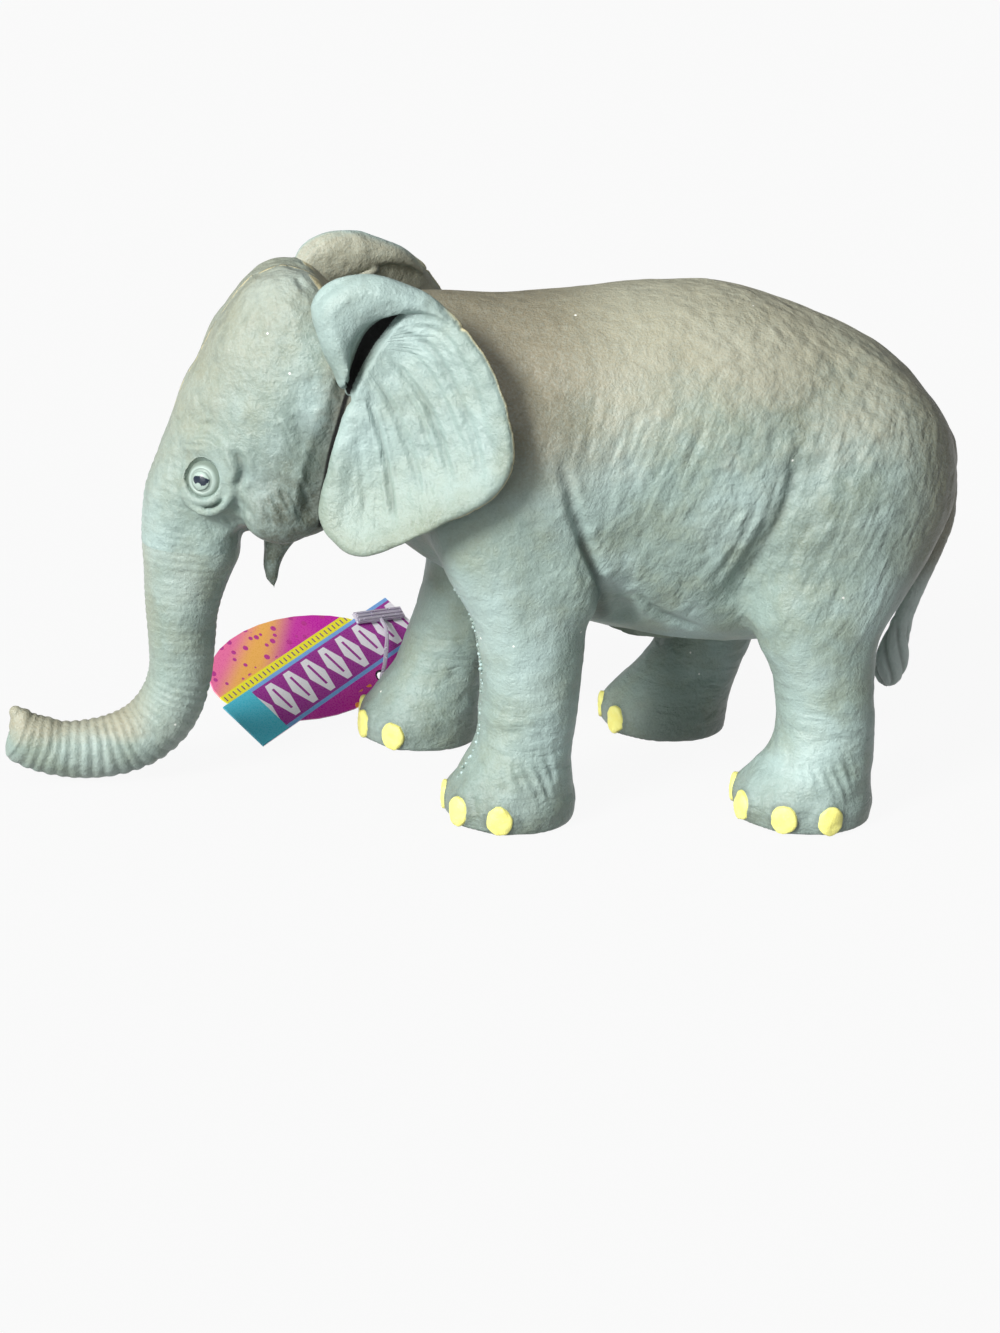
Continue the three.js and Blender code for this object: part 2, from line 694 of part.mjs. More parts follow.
const trunkTip = trunk
  .subtract(beyond(curlPoint, curlWay.clone().negate()))
  .subtract(beyond(bendPoint, Z))
  .add(curlBall)
  .add(finger);
addPiece("trunk_tip", largest(trunkTip), COLOURS.skin);

// Ears, cleared of the head and body over their whole swing
for (const [name, side] of [["left_ear", -1], ["right_ear", 1]]) {
  let ear = earForm(side).add(earFold(side)).subtract(bodyClear);
  for (const swing of [-EAR_SHUT, 0, EAR_OPEN]) {
    ear = ear.subtract(turnedAboutEar(headClear, side, -swing));
  }
  addPiece(name, largest(ear.add(earRoll(side, 0))), COLOURS.ear);
}

// Tag pin and card
const lean = THREE.MathUtils.degToRad(TAG.lean);
const turnAngle = THREE.MathUtils.degToRad(TAG.turn);
const cardAlong = new THREE.Vector3(Math.cos(turnAngle), Math.sin(turnAngle), 0);
const cardBack = new THREE.Vector3(-Math.sin(turnAngle), Math.cos(turnAngle), 0);
const cardUp = Z.clone().multiplyScalar(Math.cos(lean)).addScaledVector(cardBack, Math.sin(lean));
const cardFace = new THREE.Vector3().crossVectors(cardAlong, cardUp);
const cardFrame = new THREE.Matrix4().makeBasis(cardAlong, cardUp, cardFace);
const cardTurn = new THREE.Quaternion().setFromRotationMatrix(cardFrame);

function onCard(x, y, out) {
  return new THREE.Vector3(x, y, out).applyMatrix4(cardFrame).add(TAG.hole);
}

const paddle = PIN.paddle;
const paddleOut = TAG.thickness + paddle.off + paddle.thickness / 2;
const pinPath = [
  onCard(paddle.x, paddle.y, paddleOut),
  ...PIN.overCard.map(([x, y, out]) => onCard(x, y, out)),
  ...PIN.toLeg.map((point) => new THREE.Vector3(...point)),
  PIN.bar,
];
const filamentRound = 6;
const filamentSteps = 40;

function pinShaft(grow) {
  const rod = rodThrough(pinPath, PIN.filament + grow, filamentSteps, filamentRound);
  const radius = PIN.barRadius + grow;
  const bar = new THREE.CylinderGeometry(radius, radius, 2 * (PIN.barHalfLength + grow), 8);
  bar.rotateX(Math.PI / 2);
  return rod.add(placed(bar, PIN.bar));
}

const inCard = new THREE.Quaternion().setFromAxisAngle(Z, THREE.MathUtils.degToRad(paddle.turn));
const paddleTurn = cardTurn.clone().multiply(inCard);
const paddleMiddle = onCard(paddle.x, paddle.y, paddleOut);
const paddlePlate = new THREE.BoxGeometry(paddle.length, paddle.height, paddle.thickness);
let pin = placed(paddlePlate, paddleMiddle, paddleTurn);
for (const row of [-1, 0, 1]) {
  const offset = new THREE.Vector3(0, row * PIN.rib.pitch, paddle.thickness / 2);
  const ribMiddle = offset.applyQuaternion(paddleTurn).add(paddleMiddle);
  const rib = new THREE.BoxGeometry(paddle.length - 2 * PIN.rib.inset, PIN.rib.width, 2 * PIN.rib.width);
  pin = pin.add(placed(rib, ribMiddle, paddleTurn));
}
pin = pin.add(pinShaft(0));

// Legs, each cut by the body, with a pocket for every toenail
for (const [name, leg] of Object.entries(LEGS)) {
  let solid = legForm(leg, 0).subtract(bodyClear);
  const end = name.replace("_leg", "");
  leg.nails.forEach((degrees, i) => {
    solid = solid.subtract(nailForm(leg, degrees, GAP));
    addPiece(`${end}_toenail_${i + 1}`, nailForm(leg, degrees, 0), COLOURS.nail, 0.4);
  });
  if (name === "right_front_leg") {
    solid = solid.subtract(pinShaft(GAP));
  }
  addPiece(name, largest(solid), COLOURS.skin);
}

// Tail and its tuft
const tailClearEnd = [TAIL_END[0], TAIL_END[1] - GAP];
const tailClear = middleTube(TAIL_ROWS, 1, TAIL_ROUND, TAIL_ROOT, tailClearEnd, GAP);
const tailForm = middleTube(TAIL_ROWS, 1, TAIL_ROUND, TAIL_ROOT, TAIL_END);
addPiece("tail", largest(tailForm.subtract(bodyClear).add(tailBall)), COLOURS.skin);
const tuft = middleTube(TUFT_ROWS, 1, TAIL_ROUND, TUFT_ROOT, TUFT_TIP, 0, TUFT_FLATNESS);
addPiece("tail_tuft", largest(tuft.subtract(tailClear)), COLOURS.skin);

// Tag card: an oval with a slanted band across it, and the punched hole

const outline = new THREE.Shape();
outline.absellipse(0, 0, TAG.oval.halfLength, TAG.oval.halfHeight, 0, 2 * Math.PI);
const flat = { depth: TAG.thickness, bevelEnabled: false, curveSegments: 16 };
const ovalGeometry = new THREE.ExtrudeGeometry(outline, flat);
ovalGeometry.rotateZ(THREE.MathUtils.degToRad(TAG.oval.turn));
const ovalX = -TAG.oval.holeAlong * TAG.oval.halfLength;
const ovalY = TAG.oval.holeDown * TAG.oval.halfHeight;
ovalGeometry.translate(ovalX, ovalY, 0);
const bandGeometry = new THREE.BoxGeometry(TAG.band.length, TAG.band.height, TAG.thickness);
bandGeometry.translate(0, 0, TAG.thickness / 2);
bandGeometry.rotateZ(THREE.MathUtils.degToRad(TAG.band.turn));
bandGeometry.translate(TAG.band.x, TAG.band.y, 0);
const holeGeometry = new THREE.CylinderGeometry(TAG.holeRadius, TAG.holeRadius, 4, 12);
holeGeometry.rotateX(Math.PI / 2);
const card = placed(ovalGeometry, TAG.hole, cardTurn)
  .add(placed(bandGeometry, TAG.hole, cardTurn))
  .subtract(placed(holeGeometry, TAG.hole, cardTurn));
addPiece("tag_card", largest(card), COLOURS.card, 0.3);
addPiece("tag_pin", largest(pin), COLOURS.pin, 0.2);

// The toy's place: centred on its box, with its feet at height zero
const box = new THREE.Box3().setFromObject(toy);
const place = new THREE.Vector3(-(box.min.x + box.max.x) / 2, -(box.min.y + box.max.y) / 2, 0);
for (const mesh of toy.children) {
  mesh.geometry.translate(place.x, place.y, place.z);
}

function reportPoint(label, point) {
  const moved = point.clone().add(place);
  console.log(label, moved.toArray().map((value) => value.toFixed(3)).join(" "));
}

reportPoint("ear hinge, left, top", sidePoint(EAR_AXIS.top, -1));
reportPoint("ear hinge, left, bottom", sidePoint(EAR_AXIS.bottom, -1));
reportPoint("ear hinge, right, top", sidePoint(EAR_AXIS.top, 1));
reportPoint("ear hinge, right, bottom", sidePoint(EAR_AXIS.bottom, 1));
reportPoint("trunk bend", bendPoint);
reportPoint("trunk curl", curlPoint);
reportPoint("tail hinge", new THREE.Vector3(TAIL_HINGE.x, 0, TAIL_HINGE.z));
reportPoint("tag hole", TAG.hole);
console.log("tag face", cardFace.toArray().map((value) => value.toFixed(5)).join(" "));
for (const [name, leg] of Object.entries(LEGS)) {
  const sole = leg.lower[leg.lower.length - 1];
  reportPoint(`${name} sole`, new THREE.Vector3(sole[1], leg.side * sole[2], 0));
}
const size = box.getSize(new THREE.Vector3());
console.log("size", size.toArray().map((value) => value.toFixed(2)).join(" "));
console.log("place", place.toArray().map((value) => value.toFixed(3)).join(" "));

export default toy;
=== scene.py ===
import json
import math
import bpy
import bmesh
import numpy as np
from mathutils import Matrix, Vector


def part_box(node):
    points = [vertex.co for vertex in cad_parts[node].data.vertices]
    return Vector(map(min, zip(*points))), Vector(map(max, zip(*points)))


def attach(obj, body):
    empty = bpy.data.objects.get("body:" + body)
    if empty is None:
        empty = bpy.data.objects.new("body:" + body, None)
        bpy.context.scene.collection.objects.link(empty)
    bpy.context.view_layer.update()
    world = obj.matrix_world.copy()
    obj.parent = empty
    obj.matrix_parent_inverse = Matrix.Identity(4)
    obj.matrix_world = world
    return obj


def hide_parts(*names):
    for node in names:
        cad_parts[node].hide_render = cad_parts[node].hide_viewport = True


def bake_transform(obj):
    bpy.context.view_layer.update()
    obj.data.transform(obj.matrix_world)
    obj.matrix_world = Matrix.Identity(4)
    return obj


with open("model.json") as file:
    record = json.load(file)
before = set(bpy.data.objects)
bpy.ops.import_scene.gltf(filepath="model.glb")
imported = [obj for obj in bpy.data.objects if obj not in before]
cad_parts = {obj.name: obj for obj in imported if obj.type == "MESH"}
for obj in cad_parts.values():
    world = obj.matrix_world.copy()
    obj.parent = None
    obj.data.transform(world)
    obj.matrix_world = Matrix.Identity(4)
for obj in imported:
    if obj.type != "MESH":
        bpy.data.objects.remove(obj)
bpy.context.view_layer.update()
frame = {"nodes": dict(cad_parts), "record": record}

import openvdb as vdb
from mathutils import Matrix, Vector

joints = {joint["name"]: joint for joint in frame["record"]["behaviour"]["joints"]}
# The tables below are in the toy's own millimetres: it faces -x, its middle is y = 0 and it stands on z = 0.
bendHinge = np.array([-62.9, 0, 41])  # the trunk's upper hinge, which ties those millimetres to the frame
place = np.array(joints["trunk_bend"]["pos_m"]) * 1000 - bendHinge
tiny, remote = 1e-9, 1e3  # shorter than any size, and longer


def toFrame(point):  # the toy's millimetres to the frame's metres
    return tuple(float(v) for v in (np.array(point) + place) / 1000)


def unit(vector):
    vector = np.array(vector, float)
    return vector / np.linalg.norm(vector)


# Small helpers for forms.
def throughRows(rows, steps):  # a smooth run of values through the rows of a table
    rows = np.asarray(rows, float)
    held = np.vstack([2 * rows[0] - rows[1], rows, 2 * rows[-1] - rows[-2]])
    out = []
    for i in range(len(rows) - 1):
        p, q, r, s = held[i:i + 4]
        for t in np.arange(steps) / steps:
            out.append(0.5 * (2 * q + (r - p) * t + (2 * p - 5 * q + 4 * r - s) * t ** 2
                              + (3 * q - p - 3 * r + s) * t ** 3))
    out.append(rows[-1])
    return np.array(out)


def roundSquare(count, squareness):
    angle = np.linspace(0, 2 * np.pi, count, endpoint=False)
    c, s = np.cos(angle), np.sin(angle)
    power = 2 / squareness
    return np.sign(c) * np.abs(c) ** power, np.sign(s) * np.abs(s) ** power


def closeRings(rings, first, last):  # rings of points, closed by a pole at each end
    rings = np.asarray(rings, float)
    rows, around = rings.shape[:2]
    points = np.vstack([rings.reshape(-1, 3), [first], [last]])
    i = np.arange(rows - 1)[:, None] * around
    j = np.arange(around)[None, :]
    k = (j + 1) % around
    a, b, c, d = i + j, i + k, i + around + k, i + around + j
    sides = np.stack([np.stack([a, b, c], -1), np.stack([a, c, d], -1)]).reshape(-1, 3)
    j, k = j[0], k[0]
    head = np.stack([np.full(around, rows * around), k, j], -1)
    base = (rows - 1) * around
    foot = np.stack([np.full(around, rows * around + 1), base + j, base + k], -1)
    return points, np.vstack([sides, head, foot])


def corners(f):  # the eight corners of a cell, each with its share at a place inside the cell
    for i in (0, 1):
        for j in (0, 1):
            for k in (0, 1):
                yield (i, j, k), ((f[:, 0] if i else 1 - f[:, 0]) * (f[:, 1] if j else 1 - f[:, 1])
                                  * (f[:, 2] if k else 1 - f[:, 2]))


def stretches(path, u, v):  # for each stretch of a flat path: its number, how far along and how far off a point is
    for i, (a, b) in enumerate(zip(path[:-1], path[1:])):
        way = b[:2] - a[:2]
        t = np.clip(((u - a[0]) * way[0] + (v - a[1]) * way[1]) / max(way @ way, tiny), 0, 1)
        yield i, t, np.hypot(u - a[0] - way[0] * t, v - a[1] - way[1] * t)


class Lattice:  # a block of space where forms are kept as distances to their surface
    def __init__(self, low, high, step):
        self.step = step
        self.low = np.floor(np.array(low) / step).astype(int)
        self.size = np.ceil(np.array(high) / step).astype(int) - self.low + 1
        self.axes = [(np.arange(n) + k) * step for n, k in zip(self.size, self.low)]
        self.y = self.axes[1][None, :, None]
        self.z = self.axes[2][None, None, :]

    def distance(self, form, reach):
        points, triangles = form
        grid = vdb.FloatGrid.createLevelSetFromPolygons(
            points=np.ascontiguousarray(points, np.float32),
            triangles=np.ascontiguousarray(triangles, np.uint32),
            transform=vdb.createLinearTransform(voxelSize=self.step), halfWidth=reach / self.step)
        field = np.zeros(self.size, np.float32)
        grid.copyToArray(field, ijk=tuple(int(v) for v in self.low))
        return field

    def window(self, low, high, size, soft):  # the part of the block that a form between two corners can change
        room = size + soft * 1.3 + 2 * self.step
        first = np.clip(np.floor((np.array(low) - room) / self.step).astype(int) - self.low, 0, self.size - 1)
        last = np.clip(np.ceil((np.array(high) + room) / self.step).astype(int) - self.low + 1, 1, self.size)
        cut = tuple(slice(int(a), int(b)) for a, b in zip(first, last))
        x, y, z = [axis[part] for axis, part in zip(self.axes, cut)]
        return cut, x[:, None, None], y[None, :, None], z[None, None, :]

    def merge(self, field, cut, gap, soft, carve=False):
        field[cut] = -melt(-field[cut], gap, soft) if carve else melt(field[cut], gap, soft)

    def chain(self, field, rows, soft, carve=False):  # balls along a path, rows of x, y, z, radius
        rows = np.asarray(rows, float)
        cut, x, y, z = self.window(rows[:, :3].min(0), rows[:, :3].max(0), rows[:, 3].max(), soft)
        near = np.full(field[cut].shape, remote, np.float32)
        for a, b in zip(rows[:-1], rows[1:]):
            way = b[:3] - a[:3]
            t = ((x - a[0]) * way[0] + (y - a[1]) * way[1] + (z - a[2]) * way[2]) / max(way @ way, tiny)
            t = np.clip(t, 0, 1)
            gap = np.sqrt((x - a[0] - way[0] * t) ** 2 + (y - a[1] - way[1] * t) ** 2
                          + (z - a[2] - way[2] * t) ** 2) - a[3] - (b[3] - a[3]) * t
            near = np.minimum(near, gap)
        self.merge(field, cut, near, soft, carve)

    def blob(self, field, centre, halves, soft, axes=np.eye(3), carve=False):  # an ellipsoid on its own axes
        cut, x, y, z = self.window(centre, centre, max(halves), soft)
        inner, outer = 0, 0
        for axis, half in zip(axes, halves):
            along = (x - centre[0]) * axis[0] + (y - centre[1]) * axis[1] + (z - centre[2]) * axis[2]
            inner = inner + (along / half) ** 2
            outer = outer + (along / half ** 2) ** 2
        inner, outer = np.sqrt(inner), np.sqrt(outer) + 1e-6
        self.merge(field, cut, np.maximum(inner * (inner - 1) / outer, -min(halves)), soft, carve)

    def loop(self, field, centre, normal, major, minor, soft):  # a round ring lying across a normal
        cut, x, y, z = self.window(centre, centre, major + minor, soft)
        x, y, z = x - centre[0], y - centre[1], z - centre[2]
        along = x * normal[0] + y * normal[1] + z * normal[2]
        wide = np.sqrt(np.maximum(x * x + y * y + z * z - along ** 2, 0))
        self.merge(field, cut, np.hypot(wide - major, along) - minor, soft)

    def sample(self, field, points):
        at = np.clip(np.asarray(points) / self.step - self.low, 0, self.size - 1.001)
        cell = at.astype(int)
        return sum(share * field[tuple((cell + corner).T)] for corner, share in corners(at - cell))

    def meet(self, field, spots):  # the one of some points that lies nearest to the surface
        return spots[np.argmin(np.abs(self.sample(field, spots)))]

    def settle(self, field, point):  # the point of the surface nearest to a point
        point = np.array(point, float)
        for _ in range(6):
            gap = self.sample(field, point[None])[0]
            steps = np.eye(3) * self.step
            slope = self.sample(field, point + steps) - self.sample(field, point - steps)
            point = point - unit(slope) * gap
        return point

    def mesh(self, field):
        grid = vdb.FloatGrid()
        grid.copyFromArray(np.ascontiguousarray(field), ijk=tuple(int(v) for v in self.low), tolerance=0.0)
        grid.transform = vdb.createLinearTransform(voxelSize=self.step)
        points, quads = grid.convertToQuads(0.0)
        points, quads = points.astype(float), quads.astype(int)
        corner = points[quads]
        face = np.cross(corner[:, 1], corner[:, 2]) + np.cross(corner[:, 2], corner[:, 3])
        return points, quads[:, ::-1] if (corner[:, 0] * face).sum() < 0 else quads


def melt(a, b, soft):  # two forms grown together, with a fillet about as wide as soft
    share = np.clip(soft - np.abs(a - b), 0, None) / soft
    return (np.minimum(a, b) - share ** 2 * soft / 4).astype(np.float32)


def rise(value, low, high):  # 0 before low, 1 after high, smooth between them
    t = np.clip((value - low) / (high - low), 0, 1)
    return t * t * (3 - 2 * t)


def fall(value, full, gone):  # 1 before full, 0 from where it has gone
    return rise(-value, -gone, -full)


def pointNormals(points, quads):
    corner = points[quads]
    face = np.cross(corner[:, 2] - corner[:, 0], corner[:, 3] - corner[:, 1])
    out = np.zeros_like(points)
    for axis in range(3):
        out[:, axis] = np.bincount(quads.ravel(), np.repeat(face[:, axis], 4), len(points))
    return out / (np.linalg.norm(out, axis=1, keepdims=True) + 1e-12)


grainSide = 48
grains = np.random.default_rng(11).random((grainSide,) * 3).astype(np.float32)
wander = {"reach": 1.4, "cell": (6, 6, 6), "shifts": (0, 31, 67), "finerShift": 17, "finer": 0.55}
groove = {"room": 3, "ends": 2.2, "facing": 2.2, "lip": 0.35, "lipAt": 1.8, "lipWidth": 0.8}  # in stroke widths


def grain(points, cell):  # soft random values 0 to 1, one per cell, cell = its three sides in mm
    at = points / np.array(cell) + 500  # well away from 0, so that no cell has a negative number
    first = np.floor(at).astype(int)
    f = at - first
    f = f * f * (3 - 2 * f)
    return sum(share * grains[tuple(((first + corner) % grainSide).T)] for corner, share in corners(f))


def creases(points, cell):  # thin dark valleys: 1 in the valley, 0 away from it
    bent = points + wander["reach"] * (np.stack([grain(points + shift, wander["cell"])
                                                 for shift in wander["shifts"]], -1) - 0.5)
    first = 1 - np.abs(2 * grain(bent, cell) - 1)
    second = 1 - np.abs(2 * grain(bent + wander["finerShift"], np.array(cell) * wander["finer"]) - 1)
    return 0.65 * first ** 3 + 0.35 * second ** 3


def strokes(points, normals, paths, side):  # grooves drawn in the side view: rows of x, z; width, depth
    depth = np.zeros(len(points))
    flat = points[:, [0, 2]]
    for path, width, deep in paths:
        path = throughRows(path, 4)
        room = groove["room"] * width
        where = np.nonzero((flat > path.min(0) - room).all(1) & (flat < path.max(0) + room).all(1)
                           & (side * points[:, 1] > 0))[0]
        best, part = np.full(len(where), remote), np.zeros(len(where))
        for i, t, gap in stretches(path, *flat[where].T):
            part = np.where(gap < best, (i + t) / (len(path) - 1), part)
            best = np.minimum(gap, best)
        fade = np.clip(np.sin(np.pi * np.clip(part, 0.02, 0.98)) * groove["ends"], 0, 1)
        lip = groove["lip"] * np.exp(-((best / width - groove["lipAt"]) / groove["lipWidth"]) ** 2)
        depth[where] += deep * fade * (np.exp(-(best / width) ** 2) - lip)
    return depth * np.clip(side * normals[:, 1] * groove["facing"], 0, 1)


# Making objects.
def addObject(name, data):
    item = bpy.data.objects.new(name, data)
    bpy.context.scene.collection.objects.link(item)
    return item


def giveValues(mesh, key, values):  # a number or a vector for each point of a mesh
    values = np.asarray(values, np.float32)
    kind, part = ("FLOAT_VECTOR", "vector") if values.ndim == 2 else ("FLOAT", "value")
    mesh.attributes.new(key, kind, "POINT").data.foreach_set(part, values.ravel())


def makeMesh(name, points, quads, values):
    mesh = bpy.data.meshes.new(name)
    mesh.vertices.add(len(points))
    mesh.vertices.foreach_set("co", ((points + place) / 1000).ravel())
    mesh.loops.add(quads.size)
    mesh.loops.foreach_set("vertex_index", quads.ravel().astype(np.int32))
    mesh.polygons.add(len(quads))
    mesh.polygons.foreach_set("loop_start", np.arange(0, quads.size, quads.shape[1], dtype=np.int32))
    mesh.update(calc_edges=True)
    for key, value in {**values, "spot": points}.items():
        giveValues(mesh, key, value)
    mesh.shade_smooth()
    return addObject(name, mesh)


def cutFlat(piece, point, normal):  # keeps what lies behind the plane, and closes the cut
    work = bmesh.new()
    work.from_mesh(piece.data)
    bmesh.ops.bisect_plane(work, geom=work.verts[:] + work.edges[:] + work.faces[:], dist=1e-7,
                           plane_co=toFrame(point), plane_no=normal, clear_outer=True)
    rim = [edge for edge in work.edges if len(edge.link_faces) == 1]
    made = bmesh.ops.holes_fill(work, edges=rim, sides=0)["faces"]
    for face in made:
        face.smooth = False
        for edge in face.edges:
            edge.smooth = False
    bmesh.ops.recalc_face_normals(work, faces=made)
    for face in made:
        if face.normal.dot(Vector(normal)) < 0:
            face.normal_flip()
    work.to_mesh(piece.data)
    work.free()


def keepLargest(piece):  # drops crumbs that a carve has left loose
    work = bmesh.new()
    work.from_mesh(piece.data)
    left, best = set(work.verts), []
    while left:
        seed = left.pop()
        group, edge = [seed], [seed]
        while edge:
            for link in edge.pop().link_edges:
                for vert in link.verts:
                    if vert in left:
                        left.remove(vert)
                        group.append(vert)
                        edge.append(vert)
        if len(group) > len(best):
            best = group
    gone = set(work.verts) - set(best)
    if gone:
        bmesh.ops.delete(work, geom=list(gone), context="VERTS")
        work.to_mesh(piece.data)
    work.free()


# Shader helpers.
def colour(red, green, blue):  # a colour as a screen shows it, 0 to 255
    return tuple(((v / 255 + 0.055) / 1.055) ** 2.4 if v > 10 else v / 255 / 12.92
                 for v in (red, green, blue)) + (1.0,)


class Wire:  # a socket that takes part in sums
    def __init__(self, owner, socket):
        self.owner, self.socket = owner, socket

    def maths(self, operation, *others):
        return self.owner.add("ShaderNodeMath", {"operation": operation}, dict(enumerate((self,) + others))).out(0)

    def __add__(self, other): return self.maths("ADD", other)
    def __sub__(self, other): return self.maths("SUBTRACT", other)
    def __mul__(self, other): return self.maths("MULTIPLY", other)
    def __truediv__(self, other): return self.maths("DIVIDE", other)
    def __radd__(self, other): return self.maths("ADD", other)
    def __rmul__(self, other): return self.maths("MULTIPLY", other)
    def __rsub__(self, other): return (self * -1.0).maths("ADD", other)
    def __abs__(self): return self.maths("ABSOLUTE")
    def above(self, edge): return self.maths("GREATER_THAN", edge)
    def below(self, edge): return self.maths("LESS_THAN", edge)
    def most(self, other): return self.maths("MAXIMUM", other)
    def least(self, other): return self.maths("MINIMUM", other)

    def ease(self, low, high):  # 0 before low, 1 after high
        return self.owner.add("ShaderNodeMapRange", {"interpolation_type": "SMOOTHSTEP"},
                              {"Value": self, "From Min": low, "From Max": high}).out(0)

    def fade(self, low, high):  # 1 before low, 0 after high
        return 1.0 - self.ease(low, high)


class Made:  # a node that was added
    def __init__(self, owner, node):
        self.owner, self.node = owner, node

    def out(self, key): return Wire(self.owner, self.node.outputs[key])


class Tree:
    def __init__(self, tree):
        self.tree = tree

    def add(self, kind, settings=None, inputs=None):
        node = self.tree.nodes.new(kind)
        for key, value in (settings or {}).items():
            setattr(node, key, value)
        for key, value in (inputs or {}).items():
            if isinstance(value, Wire):
                self.tree.links.new(value.socket, node.inputs[key])
            else:
                node.inputs[key].default_value = value
        return Made(self, node)

    def vector(self, operation, *values, **scale):
        return self.add("ShaderNodeVectorMath", {"operation": operation}, {**dict(enumerate(values)), **scale})

    def along(self, vector, axis, start):  # how far a place lies along an axis that starts at a point
        return self.vector("DOT_PRODUCT", vector, tuple(axis)).out("Value") - float(np.dot(start, axis))

    def parts(self, vector):
        node = self.add("ShaderNodeSeparateXYZ", None, {0: vector})
        return node.out(0), node.out(1), node.out(2)

    def whole(self, *values):
        return self.add("ShaderNodeCombineXYZ", None, dict(enumerate(values))).out(0)


class Finish(Tree):
    def __init__(self, name):
        self.material = bpy.data.materials.new(name)
        self.material.use_nodes = True
        self.material.node_tree.nodes.clear()
        super().__init__(self.material.node_tree)

    def blend(self, factor, first, second):  # from the first colour to the second
        return self.add("ShaderNodeMix", {"data_type": "RGBA"}, {0: factor, 6: first, 7: second}).out(2)

    def millimetres(self):  # the toy's own coordinates
        return self.vector("MULTIPLY_ADD", self.add("ShaderNodeTexCoord").out("Object"), (1000, 1000, 1000),
                           tuple(-place)).out(0)

    def attribute(self, name, key="Fac"):
        return self.add("ShaderNodeAttribute", {"attribute_name": name}).out(key)

    def stretch(self, vector, cell, turn=(0, 0, 0)):  # space whose units are a turned cell, its sides in mm
        return self.add("ShaderNodeMapping", {"vector_type": "TEXTURE"},
                        {"Vector": vector, "Rotation": turn, "Scale": cell}).out(0)

    def noise(self, vector, scale, detail=3.0, roughness=0.55, distortion=0.0):
        return self.add("ShaderNodeTexNoise", None, {"Vector": vector, "Scale": scale, "Detail": detail,
                                                     "Roughness": roughness, "Distortion": distortion}).out(0)

    def lines(self, vector, scale):  # thin wandering lines: 1 on a line, 0 away from it
        value = self.noise(vector, scale, 2.0, 0.5, 0.7)
        return (1.0 - (abs(value * 2.0 - 1.0) * 4.5).least(1.0)).ease(0.0, 1.0)

    def dots(self, vector, scale, size):  # 1 inside round dots scattered over space
        return self.add("ShaderNodeTexVoronoi", {"feature": "F1"},
                        {"Vector": vector, "Scale": scale}).out("Distance").below(size)

    def bump(self, height, distance, strength):
        return self.add("ShaderNodeBump", None, {"Height": height, "Distance": distance, "Strength": strength}).out(0)

    def close(self, shader):
        self.add("ShaderNodeOutputMaterial", None, {"Surface": shader})
        return self.material

    def surface(self, **sockets):
        sockets = {key.replace("_", " "): value for key, value in sockets.items()}
        return self.close(self.add("ShaderNodeBsdfPrincipled", None, sockets).out(0))


def cloudFinish(name, scale, shades, roughness, height, detail=2.0, edges=None, **sockets):  # two soft shades
    make = Finish(name)
    cloud = make.noise(make.millimetres(), scale, detail)
    tint = make.blend(cloud.ease(*edges) if edges else cloud, *shades)
    return make.surface(Base_Color=tint, Roughness=cloud * 0.2 + roughness, Normal=make.bump(cloud, height, 0.6),
                        **sockets)


# The soft skin's finish.
skinLook = {
    "sage": colour(142, 161, 153),
    "olive": colour(138, 148, 128),
    "tan": colour(166, 160, 137),
    "pale": colour(184, 207, 206),
    # dark grey-green, for random darker mottling and for painted shade in creases
    "deep": colour(44, 46, 38),
    "shade": colour(92, 99, 86),
    "flash": colour(222, 210, 164),
    "dust": colour(240, 242, 236),
    # near black, painted shadow in the deepest gaps
    "pocket": colour(7, 7, 6),
    # brown for painted shade on the shoulder under the ear and on the rump's rear, and for the tail's root
    "brownPaintedShade": colour(118, 106, 82),
    # paler, painted light on the tail's tuft
    "tuft": colour(214, 228, 224),
}
skinZones = {  # where a shade or a pattern starts, and where it is full, in mm along x, y or z
    "back": (72.0, 97.0), "shoulder": (64.0, 82.0), "behindShoulder": (4.0, 28.0),
    "flankFront": (2.0, 18.0), "flankFoot": (34.0, 46.0), "flankTop": (80.0, 98.0),
    "ankle": (20.0, 44.0), "ankleLines": (18.0, 34.0), "sole": (1.0, 14.0),
    "rumpFront": (20.0, 52.0), "rumpEnd": (80.0, 94.0), "rumpFoot": (40.0, 66.0),
    "rear": (72.0, 95.0), "rearFoot": (30.0, 52.0), "haunch": (44.0, 60.0), "haunchTop": (84.0, 100.0),
    "nape": (-39.5, -34.5), "napeFoot": (96.0, 101.0), "neck": (-40.0, -27.0), "forehead": (66.0, 84.0),
    "cheekTop": (60.0, 86.0), "cheekFront": (-57.0, -44.0),
    "seamHalf": (0.25, 0.75), "seamFoot": (78.0, 84.0),
    "crownHalf": (0.15, 0.6), "crownFoot": (100.0, 103.0), "crownSide": (3.0, 5.0),
    "lobeFoot": (92.0, 101.0), "lobeRear": (-22.0, -8.0), "flapFoot": (58.0, 80.0),
    "tuft": (38.0, 50.0), "tipRear": (-76.0, -66.0), "tipTop": (8.5, 13.0),
}
skinCells = {  # the sides in mm of a pattern's cell, and how it is turned
    "flank": ((2.6, 5, 9.5), (0, 0.4, 0)), "ankle": ((6.5, 6.5, 2.6),), "ankleLines": ((8.3, 8.3, 2.8),),
    "faceLines": ((5, 5, 3.8), (0, -0.5, 0)), "face": ((2.4, 3, 4.6), (0, -0.55, 0)),
}


